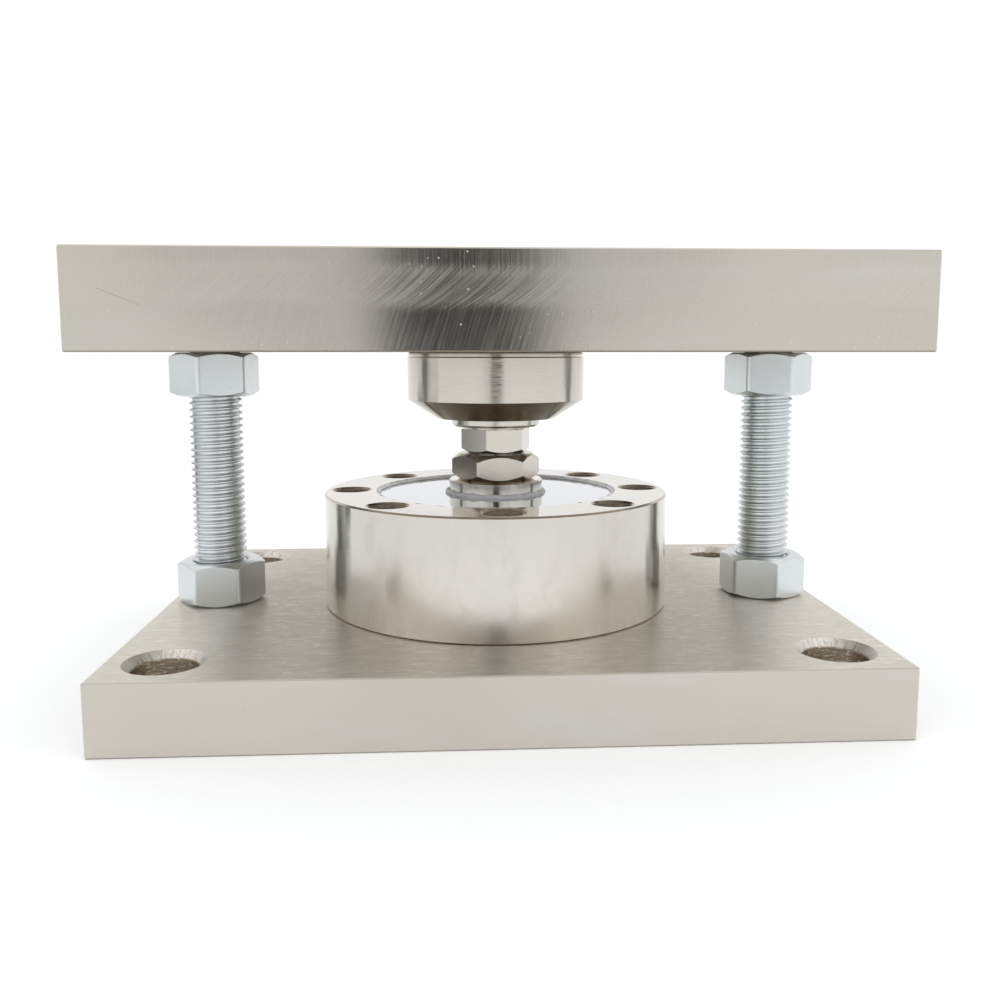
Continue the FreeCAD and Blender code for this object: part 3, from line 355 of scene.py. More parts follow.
def plate_finish(name, settings, marks):
    """Ground steel plate, nickel plated: brushed faces, satin edges and rough, thinly plated holes.

    marks is how strongly the cutter left its lines on the long edges.
    """
    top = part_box(name)[1].z / MM
    finish = Finish(name + "_finish", settings.nickel, 0.3, anisotropic=0.8)
    steepness = finish.facing_z.size()
    upward = steepness.above(0.75, 0.95)
    front = finish.facing_y.size().above(0.8, 0.97)
    cloud = finish.noise(scale=0.022, detail=3.0, roughness=0.55)
    mottle = finish.noise(scale=0.16, detail=4.0, roughness=0.6)

    # wide faces: brushed along X, with short bright and dark flecks
    brushing = finish.noise(stretch=(0.14, 1.2, 1.0), detail=4.0, roughness=0.65)
    dash = finish.noise(stretch=(0.32, 1.15, 1.0), detail=2.0, roughness=0.6)
    flecks = dash.above(0.56, 0.66) * upward
    nicks = dash.below(0.34, 0.43) * upward
    worn = finish.noise(stretch=(0.012, 0.20, 1.0), detail=3.0)

    # long edges: upright grain, below it the arcs of the cutter, below these its steep lines
    drop = (ARC_RISE + top - finish.z).smaller(ARC_RADIUS - 1.0)
    swing = finish.x - (ARC_RADIUS * ARC_RADIUS - drop * drop).root()
    broad = finish.grooves(swing, finish.z, 0.55, 0.05)
    arcs = finish.grooves(swing, finish.z, 1.7, 0.06, 0.48)
    upright = finish.grooves(finish.x, finish.z, 3.0, 0.05)
    steep = finish.grooves(finish.x - finish.z * 0.31, finish.z, 1.4, 0.04)
    level = top - finish.z + (cloud - 0.5) * 6.0
    swept = level.between(5.6, 11.0, 3.6)
    lines = (
        swept * (0.34 + broad * 0.16 + arcs * 0.72)
        + level.below(2.0, 7.8) * (0.12 + upright * 0.36)
        + level.above(10.0, 15.0) * steep * 0.30
    )
    cut = lines * front * marks

    # a few dents, and one scratch
    specks = finish.cells(scale=0.42).below(0.050, 0.110) * finish.noise(scale=0.06).above(0.44, 0.54)
    run = (finish.x - SCRATCH_X) * (1 / SCRATCH_LENGTH)
    off_line = (finish.z - (top - SCRATCH_DROP) + run * SCRATCH_FALL).size()
    scratch = off_line.below(0.05, 0.16) * run.between(0.0, 1.0, 0.15) * front * marks

    # corner holes: bright machined chamfer, rough brown wall with bright flakes
    across = finish.x.size() - ANCHOR_X
    along = finish.y.size() - ANCHOR_Y
    from_hole = (across * across + along * along).root()
    round_hole = along.calculate("ARCTAN2", across) * ANCHOR_HOLE
    wall = from_hole.below(ANCHOR_HOLE + 0.15, ANCHOR_HOLE + 0.35)
    sink = from_hole.below(ANCHOR_SINK - 0.05, ANCHOR_SINK + 0.05) * (1.0 - wall)
    tear = finish.noise(finish.join(round_hole, finish.z, 0.0), (0.50, 1.5, 1.0), 1.0, 4.0, 0.7)
    flakes = finish.noise(finish.join(round_hole, finish.z + 40.0, 0.0), (0.55, 1.5, 1.0), 1.0, 3.0, 0.6)
    chatter = finish.noise(finish.join(round_hole, from_hole, 0.0), (1.7, 0.5, 1.0), 1.0, 4.0, 0.65)
    # Painted shade: the slanted edge chamfers away from the holes are blended to dark brown, most where they
    # face down
    painted_chamfer_shade = steepness.between(0.35, 0.88, 0.06) * from_hole.above(ANCHOR_SINK + 0.5, ANCHOR_SINK + 1.0)

    grain = finish.noise(stretch=(1.4, 1.4, 0.05), detail=3.0, roughness=0.6)
    finish.tint(
        0.935 + cloud * 0.10 + upward * (brushing - 0.08) * 0.44 - nicks * 0.09
        + (grain - upward * 0.5) * 0.04
    )
    bluish = finish.noise(stretch=(0.018, 1.0, 0.06), detail=3.0).above(0.52, 0.72) * front
    finish.blend(bluish * 0.6, (0.560, 0.548, 0.525))
    finish.blend(flecks * 0.40, (0.84, 0.82, 0.78))
    finish.blend(specks * 0.5, (0.80, 0.80, 0.78))
    finish.blend(wall * (0.55 + tear.below(0.34, 0.52) * 0.35), settings.stain_and_painted_reflection)
    finish.blend(wall * flakes.above(0.54, 0.61) * 0.68, (0.86, 0.80, 0.68))
    finish.blend(sink * 0.55, (0.86, 0.83, 0.79))
    finish.blend(sink * chatter.above(0.50, 0.62) * 0.45, settings.stain_and_painted_reflection)
    finish.blend(painted_chamfer_shade * (0.48 - finish.facing_z * 0.35), (0.215, 0.175, 0.130))
    plain = 0.10 + (1.0 - marks * front) * 0.21 + mottle * 0.04 + cut * 0.32
    brushed = 0.30 + brushing * 0.20 + worn * 0.10
    finish.roughness = (
        brushed * upward + plain * (1.0 - upward) + wall * 0.08 - flecks * 0.10 + (specks + scratch) * 0.4
    )
    finish.relief(brushing * upward, 0.036)
    finish.relief(dash * upward, 0.022)
    finish.relief(mottle * (1.0 - upward), 0.006)
    finish.relief(specks, 0.02)
    finish.relief(tear * wall, 0.35)
    finish.relief(chatter * sink, 0.22)
    return finish.done((0.0, upward, 1.0 - upward))


def zinc_finish(name, settings, thread):
    """Matte bluish zinc plating, a little cloudy, with small dark spots."""
    finish = Finish(name, settings.zinc, 0.3)
    cloud = finish.noise(scale=0.09, detail=3.0)
    frost = finish.noise(scale=1.6, detail=4.0, roughness=0.7)
    spots = finish.noise(scale=0.45, detail=2.0).above(0.66, 0.74)
    finish.tint(0.92 + cloud * 0.14)
    finish.blend(spots * 0.18, (0.45, 0.46, 0.46))
    finish.roughness = (0.27 if thread else 0.25) + frost * 0.08 + cloud * 0.05
    finish.relief(frost, 0.010 if thread else 0.008)
    finish.relief(cloud, 0.05)
    return finish.done()


def cell_finish(settings):
    """Turned and polished rim, mirror bright ring, brown chamfers and rough pockets."""
    finish = Finish("cell_body_finish", settings.bright_nickel, 0.14, anisotropic=0.95)
    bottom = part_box("cell_body")[0].z / MM
    ring_top = bottom + RIM_HEIGHT
    outside = finish.radius.above(RIM_RADIUS - 0.7, RIM_RADIUS - 0.6)
    upward = finish.facing_z.above(0.8, 0.97)
    turning = finish.join(finish.z, finish.angle * 1.5, 0.0)
    tooling = finish.noise(turning, (4.5, 0.5, 1.0), 1.0, 3.0, 0.6)
    sweep = finish.noise(finish.join(finish.radius, finish.angle * 2.0, 0.0), (5.0, 0.6, 1.0), 1.0, 3.0, 0.6)
    cloud = finish.noise(scale=0.045, detail=3.0)
    haze = finish.noise(scale=0.35, detail=4.0)
    rubbed = finish.noise(stretch=(0.09, 0.09, 0.05), detail=4.0, roughness=0.6, warp=0.8)

    # eight screw pockets: fold the angle into one eighth of a turn
    eighth = pi / 4
    turn = (finish.angle / eighth).calculate("ROUND") * eighth
    bolt_x = finish.x - turn.calculate("COSINE") * BOLT_CIRCLE
    bolt_y = finish.y - turn.calculate("SINE") * BOLT_CIRCLE
    from_bolt = (bolt_x * bolt_x + bolt_y * bolt_y).root()
    round_bolt = bolt_y.calculate("ARCTAN2", bolt_x)
    sunk = finish.z.below(ring_top - 0.2, ring_top - 0.05)
    pocket = from_bolt.below(POCKET_RADIUS + 0.05, POCKET_RADIUS + 0.15) * sunk
    mouth = from_bolt.below(POCKET_MOUTH + 0.05, POCKET_MOUTH + 0.15) * (1.0 - pocket) * (1.0 - upward)
    near_mouth = from_bolt.below(POCKET_MOUTH + 0.1, POCKET_MOUTH + 1.4) * upward
    along_wall = finish.join(round_bolt * POCKET_RADIUS, finish.z, 0.0)
    tear = finish.noise(along_wall, (0.6, 2.0, 1.0), 1.0, 4.0, 0.7)
    edge = outside * finish.z.above(ring_top - 0.55, ring_top - 0.45)
    foot = outside * finish.z.below(bottom + 0.25, bottom + 0.5)

    # Painted light: faces that look up, such as the ring's top, are made 12 % lighter, and the outside wall 1
    # % darker
    finish.tint(0.97 + cloud * 0.06 + upward * 0.12 - outside * 0.01)
    finish.blend(mouth * 0.55, settings.stain_and_painted_reflection)
    finish.blend(pocket * (0.45 + tear.below(0.36, 0.52) * 0.5), settings.stain_and_painted_reflection)
    finish.blend(pocket * tear.above(0.58, 0.66) * 0.6, (0.70, 0.64, 0.52))
    finish.blend(edge * 0.35, settings.stain_and_painted_reflection)
    # Painted shadow: a near-black line on the rim's inner wall, just above the rim bead
    finish.blend(finish.radius.between(36.7, 37.3, 0.1) * (1.0 - upward) * 0.8, (0.10, 0.09, 0.08))
    # The bottom half millimetre of the outside wall, where it stands on the base plate, is blended to brown
    finish.blend(foot * 0.80, settings.stain_and_painted_reflection)
    dots = finish.cells(scale=1.3).below(0.12, 0.20) * finish.noise(scale=0.30).above(0.50, 0.60)
    finish.blend(dots * near_mouth * 0.9, (0.05, 0.04, 0.04))
    polish = 0.08 + haze * 0.05 + rubbed.above(0.45, 0.70) * 0.07
    finish.roughness = polish + pocket * 0.20 - upward * 0.03 + outside * 0.04
    finish.relief(tooling * outside, 0.0020)
    finish.relief(rubbed * outside, 0.030)
    finish.relief(sweep * upward, 0.0015)
    finish.relief(tear * pocket, 0.50)
    return finish.done("turned")


def membrane_finish(settings):
    """Mirror bright sheet with faint wiping marks."""
    finish = Finish("top_membrane_finish", settings.membrane, 0.05)
    wipe = finish.noise(stretch=(0.25, 1.6, 1.0), scale=0.5, detail=4.0, warp=0.6)
    ring = finish.radius.between(BOSS_RADIUS + 0.6, BOSS_RADIUS + 2.1, 0.8)
    finish.tint(0.97 + wipe * 0.05)
    finish.roughness = 0.035 + wipe * 0.05 + ring * 0.04
    finish.relief(finish.noise(scale=0.05, detail=1.0), 0.05)
    finish.relief(wipe, 0.0015)
    return finish.done()


def sheet_finish():
    """Plain stainless sheet with its rolling grain."""
    finish = Finish("bottom_cover_finish", (0.62, 0.62, 0.61), 0.3)
    grain = finish.noise(stretch=(0.06, 3.0, 1.0), scale=1.0, detail=3.0)
    finish.tint(0.95 + grain * 0.10)
    finish.roughness = 0.24 + grain * 0.14
    finish.relief(grain, 0.006)
    return finish.done()


def sealant_finish(name, shade, sheen):
    """Grey silicone, smooth skinned, with dust on it; sheen is how much it mirrors the bright room."""
    finish = Finish(name, shade, 0.32, metallic=sheen)
    cloud = finish.noise(scale=0.55, detail=3.0)
    dust = finish.noise(scale=2.6, detail=3.0).above(0.60, 0.70)
    finish.tint(0.82 + cloud * 0.36)
    finish.blend(dust * 0.35, (0.80, 0.79, 0.76))
    finish.roughness = 0.30 + cloud * 0.16 + dust * 0.2
    finish.relief(cloud, 0.10)
    return finish.done()


def turned_finish(name, settings, lines=1.0):
    """Finely turned nickel plated steel; lines is how strongly the turning shows."""
    finish = Finish(name, settings.nickel, 0.2, anisotropic=0.88)
    around = finish.join(finish.z + finish.radius * 0.7, finish.angle * 0.6, 0.0)
    tool = finish.noise(around, (4.6, 11.0, 1.0), 1.0, 2.0, 0.6)
    feed = finish.noise(around, (1.1, 0.2, 1.0), 1.0, 2.0)
    cloud = finish.noise(scale=0.08, detail=3.0)
    finish.tint(1.06 + tool * 0.05 * lines + cloud * 0.05)
    # Painted shade: faces that look down, such as the cup's lower cone, are blended to dark brown in place of
    # the dim reflections between the parts
    finish.blend(finish.facing_z.below(-0.75, -0.45) * 0.85, (0.235, 0.182, 0.115))
    finish.roughness = 0.10 + tool.above(0.35, 0.65) * 0.12 * lines + cloud * 0.04
    finish.relief(tool, 0.0010 * lines)
    finish.relief(feed, 0.0004 * lines)
    return finish.done("turned")


def satin_finish(name, settings, shade):
    """Satin nickel on milled hexagons, with a painted brown reflection on the chamfers; shade is a painted
    brightness that makes lighter and darker copies of the same nickel.
    """
    finish = Finish(name, settings.nickel, 0.2, anisotropic=0.3)
    mill = finish.noise(stretch=(0.5, 0.5, 3.0), detail=3.0)
    cloud = finish.noise(scale=0.12, detail=3.0)
    painted_chamfer_reflection = finish.facing_z.size().between(0.35, 0.95, 0.08)
    finish.tint(shade + cloud * 0.08)
    # Painted reflection: the slanted chamfer faces are blended a quarter of the way to brown
    finish.blend(painted_chamfer_reflection * 0.25, settings.stain_and_painted_reflection)
    finish.roughness = 0.14 + mill * 0.08 + cloud * 0.05
    finish.relief(mill, 0.006)
    return finish.done("turned")


def screw_finish(name):
    """Black oxide on steel, with worn brighter edges and an oily sheen."""
    finish = Finish(name, (0.055, 0.052, 0.050), 0.35, metallic=0.85)
    cloud = finish.noise(scale=0.5, detail=3.0)
    wear = finish.noise(scale=1.5, detail=4.0).above(0.58, 0.66)
    finish.tint(0.8 + cloud * 0.5)
    finish.blend(wear * 0.35, (0.22, 0.21, 0.20))
    finish.roughness = 0.28 + cloud * 0.2
    finish.relief(cloud, 0.03)
    return finish.done()


def gland_finish():
    """Nickel plated brass, bright, with yellower worn corners."""
    finish = Finish("gland_finish", (0.720, 0.695, 0.630), 0.22)
    cloud = finish.noise(scale=0.25, detail=3.0)
    wear = finish.noise(scale=0.9, detail=4.0).above(0.62, 0.70)
    finish.tint(0.92 + cloud * 0.12)
    finish.blend(wear * 0.4, (0.78, 0.62, 0.34))
    finish.roughness = 0.17 + cloud * 0.14
    finish.relief(cloud, 0.02)
    return finish.done()


def rubber_finish():
    """Black rubber with a dusty bloom."""
    finish = Finish("gland_seal_finish", (0.020, 0.020, 0.021), 0.6, metallic=0.0)
    bloom = finish.noise(scale=0.8, detail=4.0)
    finish.blend(bloom.above(0.45, 0.75) * 0.35, (0.075, 0.074, 0.072))
    finish.roughness = 0.5 + bloom * 0.25
    finish.relief(bloom, 0.03)
    return finish.done()


def foil_finish():
    """Amber carrier foil with the dark loops of a measuring grid."""
    finish = Finish("strain_gauges_finish", (0.70, 0.40, 0.10), 0.35, metallic=0.0)
    grid = (finish.z * 2.6).calculate("FRACT").above(0.45, 0.55)
    cloud = finish.noise(scale=0.9, detail=2.0)
    finish.blend(grid * 0.8, (0.30, 0.24, 0.18))
    finish.roughness = 0.28 + cloud * 0.15
    finish.relief(grid, 0.01)
    return finish.done()


def board_finish():
    """Green laminate with rows of tinned pads."""
    finish = Finish("terminal_board_finish", (0.035, 0.170, 0.070), 0.4, metallic=0.0)
    weave = finish.noise(stretch=(3.0, 3.0, 1.0), scale=1.0, detail=2.0)
    pad_x = (finish.x * 0.5).calculate("FRACT") - 0.5
    pad_y = (finish.y * 0.25).calculate("FRACT") - 0.5
    pads = (pad_x * pad_x + pad_y * pad_y * 4.0).root().below(0.22, 0.26)
    finish.tint(0.85 + weave * 0.3)
    finish.blend(pads * finish.facing_z.above(0.5, 0.8), (0.72, 0.72, 0.70))
    finish.roughness = 0.42 - pads * 0.18
    return finish.done()


# ---------------------------------------------------------------------------------------------
# Making pieces
# ---------------------------------------------------------------------------------------------
STUD_RADIUS = 7.9 * MM
FLANK_SLOPE = 0.577  # a flank's reach along the axis, over the thread's depth
LEAST_THREAD_FACES = 5000
BOSS_BEAD_RING = 14.45 * MM
RIM_BEAD_RING = 36.55 * MM
WELD_DISTANCE = 1e-6
SHARP_EDGE = radians(28)


def start_clean():
    """Leave edit mode and deselect everything, so that an operator acts on the new piece alone."""
    if bpy.context.object and bpy.context.object.mode != "OBJECT":
        bpy.ops.object.mode_set(mode="OBJECT")
    bpy.ops.object.select_all(action="DESELECT")


def only(piece):
    """Select one piece and make it the active one."""
    start_clean()
    piece.select_set(True)
    bpy.context.view_layer.objects.active = piece


def finish_modifier(piece, kind, **settings):
    """Add a modifier, set it up and apply it."""
    only(piece)
    modifier = piece.modifiers.new(kind.title(), kind)
    for name, value in settings.items():
        setattr(modifier, name, value)
    bpy.ops.object.modifier_apply(modifier=modifier.name)


def place(piece):
    """Apply a piece's move, turn and size to its mesh, so that its object sits at the origin."""
    only(piece)
    bpy.ops.object.transform_apply(location=True, rotation=True, scale=True)


def pick_points(piece, wanted):
    """In edit mode, select the points for which a test on their place holds."""
    bpy.ops.mesh.select_mode(type="VERT")
    bpy.ops.mesh.select_all(action="DESELECT")
    mesh = bmesh.from_edit_mesh(piece.data)
    for point in mesh.verts:
        if wanted(point.co):
            point.select_set(True)
    mesh.select_flush(True)
    bmesh.update_edit_mesh(piece.data)


def solid_copy(node, name):
    """A closed copy of a CAD node, to cut another piece with."""
    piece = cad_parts[node].copy()
    piece.data = piece.data.copy()
    piece.name = name
    piece.parent = None
    bpy.context.scene.collection.objects.link(piece)
    piece.hide_render = False
    piece.hide_viewport = False
    only(piece)
    bpy.ops.object.mode_set(mode="EDIT")
    bpy.ops.mesh.select_all(action="SELECT")
    bpy.ops.mesh.remove_doubles(threshold=WELD_DISTANCE)
    bpy.ops.object.mode_set(mode="OBJECT")
    return piece


def rounded_copy(node, name, width):
    """A copy of a CAD node with its sharp edges rounded."""
    piece = solid_copy(node, name)
    bpy.ops.object.mode_set(mode="EDIT")
    bpy.ops.mesh.select_all(action="SELECT")
    bpy.ops.mesh.dissolve_limited(angle_limit=radians(1.0))
    bpy.ops.object.mode_set(mode="OBJECT")
    finish_modifier(piece, "BEVEL", width=width, segments=3, limit_method="ANGLE", angle_limit=SHARP_EDGE)
    only(piece)
    bpy.ops.object.shade_smooth_by_angle(angle=SHARP_EDGE)
    finish_modifier(piece, "WEIGHTED_NORMAL", weight=90, keep_sharp=True)
    return piece


def cut_thread(settings, low, high):
    """A right-handed screw thread round the Z axis that runs a little past both heights."""
    crest = STUD_RADIUS - settings.clearance
    root = crest - settings.depth
    flank = settings.depth * FLANK_SLOPE
    flat = settings.pitch - settings.crest - 2 * flank
    heights = (0.0, flat, flat + flank, flat + flank + settings.crest, settings.pitch)
    reaches = (root, root, crest, crest, root)
    turns = int((high - low) / settings.pitch) + 4
    start = low - 2 * settings.pitch
    start_clean()
    bpy.ops.mesh.primitive_plane_add(size=settings.pitch, location=(0, 0, 0))
    piece = bpy.context.object
    piece.name = "thread"
    bpy.ops.object.mode_set(mode="EDIT")
    pick_points(piece, lambda place: place.x > 0)
    bpy.ops.mesh.delete(type="VERT")
    bpy.ops.mesh.select_all(action="SELECT")
    bpy.ops.mesh.subdivide(number_cuts=3)
    mesh = bmesh.from_edit_mesh(piece.data)
    points = sorted(mesh.verts, key=lambda point: point.co.y)
    for point, reach, height in zip(points, reaches, heights):
        point.co = Vector((reach, 0.0, start + height))
    bmesh.update_edit_mesh(piece.data)
    bpy.ops.object.mode_set(mode="OBJECT")
    finish_modifier(
        piece, "SCREW", axis="Z", angle=2 * pi, screw_offset=settings.pitch, iterations=turns,
        steps=settings.steps, render_steps=settings.steps, use_smooth_shade=False,
    )
    bpy.ops.object.mode_set(mode="EDIT")
    bpy.ops.mesh.select_all(action="SELECT")
    bpy.ops.mesh.remove_doubles(threshold=WELD_DISTANCE)
    bpy.ops.mesh.select_all(action="DESELECT")
    bpy.ops.mesh.select_non_manifold(
        extend=False, use_wire=False, use_boundary=True, use_multi_face=False, use_non_contiguous=False,
        use_verts=False,
    )
    bpy.ops.mesh.fill()
    bpy.ops.mesh.select_all(action="SELECT")
    bpy.ops.mesh.normals_make_consistent(inside=False)
    bpy.ops.object.mode_set(mode="OBJECT")
    return piece


def add_piece(piece, name, slot, material, *nodes):
    """Name a new piece, give it its finish, hang it under the root and hide the CAD nodes that it replaces.
    """
    piece.name = name
    piece.data.name = name
    piece.data.materials.clear()
    piece.data.materials.append(material)
    for face in piece.data.polygons:
        face.material_index = 0
    place(piece)
    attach(piece, "root")
    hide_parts(*nodes)
    return piece


# ---------------------------------------------------------------------------------------------
# Operators
# ---------------------------------------------------------------------------------------------
class WEIGHMODULE_OT_plates(bpy.types.Operator):
    """Finish both plates: brushed faces, cutter marks on the top plate's edge, rough holes"""

    bl_idname = "weighmodule.plates"
    bl_label = "Finish Plates"

    def execute(self, context):
        settings = context.scene.weigh_finishes
        dress("base_plate", plate_finish("base_plate", settings, 0.0))
        dress("top_plate", plate_finish("top_plate", settings, 1.0))
        return {"FINISHED"}


class WEIGHMODULE_OT_studs(bpy.types.Operator):
    """Cut the threads of both studs and give studs and nuts their zinc"""

    bl_idname = "weighmodule.studs"
    bl_label = "Cut Studs"

    def execute(self, context):
        settings = context.scene.weigh_thread
        finishes = context.scene.weigh_finishes
        thread_zinc = zinc_finish("stud_finish", finishes, True)
        nut_zinc = zinc_finish("nut_finish", finishes, False)
        for side in ("left", "right"):
            node = "support_stud_" + side
            low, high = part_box(node)
            thread = cut_thread(settings, low.z, high.z)
            thread.location.x = (low.x + high.x) / 2
            place(thread)
            blank = solid_copy(node, "stud_blank")
            finish_modifier(thread, "BOOLEAN", operation="INTERSECT", object=blank, solver="EXACT")
            bpy.data.objects.remove(blank)
            if len(thread.data.polygons) < LEAST_THREAD_FACES:
                raise RuntimeError("the thread of %s wasn't cut" % node)
            only(thread)
            bpy.ops.object.shade_smooth_by_angle(angle=SHARP_EDGE)
            add_piece(thread, "threaded_stud_" + side, "zinc_thread", thread_zinc, node)
            for kind in ("lock_nut_", "jack_nut_"):
                nut = rounded_copy(kind + side, "rounded_nut", finishes.nut_rounding)
                add_piece(nut, "rounded_" + kind + side, "zinc_nut", nut_zinc, kind + side)
        return {"FINISHED"}


class WEIGHMODULE_OT_cell(bpy.types.Operator):
    """Polish the load cell and its covers"""

    bl_idname = "weighmodule.cell"
    bl_label = "Finish Load Cell"

    def execute(self, context):
        settings = context.scene.weigh_finishes
        dress("cell_body", cell_finish(settings))
        dress("top_membrane", membrane_finish(settings))
        dress("bottom_cover", sheet_finish())
        dress("cell_screws", screw_finish("cell_screws_finish"))
        dress("strain_gauges", foil_finish())
        dress("terminal_board", board_finish())
        return {"FINISHED"}


class WEIGHMODULE_OT_sealant(bpy.types.Operator):
    """Lay the two uneven beads of silicone on the cell's membrane"""

    bl_idname = "weighmodule.sealant"
    bl_label = "Lay Sealant"

    def bead(self, settings, name, ring, thickness, node):
        """A swollen ring that is cut flat where it lies on the membrane and hugs the wall."""
        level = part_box(node)[0].z
        start_clean()
        bpy.ops.mesh.primitive_torus_add(
            location=(0, 0, level + thickness * 0.12), major_radius=ring, minor_radius=thickness,
            major_segments=220, minor_segments=16,
        )
        piece = bpy.context.object
        place(piece)
        swell = bpy.data.textures.new(name + "_swell", "CLOUDS")
        swell.noise_scale = settings.wave
        swell.noise_depth = 1
        strength = settings.unevenness * thickness / settings.boss_bead
        finish_modifier(piece, "DISPLACE", texture=swell, strength=strength, mid_level=0.5)
        bpy.ops.object.mode_set(mode="EDIT")
        bpy.ops.mesh.select_all(action="SELECT")
        bpy.ops.mesh.bisect(
            plane_co=(0, 0, level + 0.01 * MM), plane_no=(0, 0, -1), use_fill=True, clear_outer=True
        )
        bpy.ops.object.mode_set(mode="OBJECT")
        underside = sum(face.area for face in piece.data.polygons if face.normal.z < -0.9)
        if underside > 2 * pi * ring * 3 * thickness:
            raise RuntimeError("the bead %s is torn, so its cut closed over the membrane" % name)
        return piece

    def execute(self, context):
        settings = context.scene.weigh_sealant
        shades = context.scene.weigh_finishes
        beads = (
            ("boss", BOSS_BEAD_RING, settings.boss_bead, shades.boss_sealant, 0.0),
            ("rim", RIM_BEAD_RING, settings.rim_bead, shades.rim_sealant_painted_light, 0.5),
        )
        for where, ring, thickness, shade, sheen in beads:
            piece = self.bead(settings, where + "_bead", ring, thickness, where + "_seal")
            only(piece)
            bpy.ops.object.shade_smooth_by_angle(angle=radians(50))
            material = sealant_finish(where + "_sealant_finish", shade, sheen)
            add_piece(piece, where + "_bead", "silicone_seal", material, where + "_seal")
        return {"FINISHED"}


class WEIGHMODULE_OT_foot(bpy.types.Operator):
    """Finish the jam nut, the foot and the cup that carries the top plate"""

    bl_idname = "weighmodule.foot"
    bl_label = "Finish Foot"

    def execute(self, context):
        settings = context.scene.weigh_finishes
        # Painted light and shade: the foot is tinted 1.07 and the jam nut 0.97, lighter and darker copies of
        # one satin nickel
        satin = satin_finish("foot_finish", settings, 1.07)
        turned = turned_finish("cup_finish", settings)
        dress("jam_nut", satin_finish("jam_nut_finish", settings, 0.97))
        dress("foot_stud", satin)
        dress("cup_housing", turned)
        dress("thrust_lid", turned)
        dress("levelling_shim", turned)
        dress("seat_insert", turned_finish("seat_insert_finish", settings, 0.4))
        dress("cup_screw", screw_finish("cup_screw_finish"))
        return {"FINISHED"}


class WEIGHMODULE_OT_gland(bpy.types.Operator):
    """Finish the cable gland at the back of the cell"""

    bl_idname = "weighmodule.gland"
    bl_label = "Finish Cable Gland"

    def execute(self, context):
        plated = gland_finish()
        dress("gland_body", plated)
        dress("gland_nut", plated)
        dress("gland_seal", rubber_finish())
        return {"FINISHED"}


# Soft boxes: name, place, width in metres and power in watts; all shine at LAMP_TARGET
LAMPS = (
    ("lamp_above", (0.0, -0.1, 1.4), 1.4, 3.0),
    ("lamp_left", (-1.2, -1.0, 0.9), 1.0, 1.6),
    ("lamp_right", (1.2, -1.0, 0.9), 1.0, 2.0),
)
LAMP_TARGET = (0.0, 0.0, 0.05)
SENSOR_WIDTH = 36.0
FLOOR_WIDTH = 6.0
FLOOR_LEVEL = -0.02 * MM
FLOOR_GLOW = 0.17
PAINTED_POOL_GLOW = 0.18


def ray_kinds(tree):
    """Three fields that are 1 for rays from the camera, from metal and through glass."""
    path = tree.nodes.new("ShaderNodeLightPath")
    return [
        Field(tree, path.outputs[kind]) for kind in ("Is Camera Ray", "Is Glossy Ray", "Is Transmission Ray")
    ]


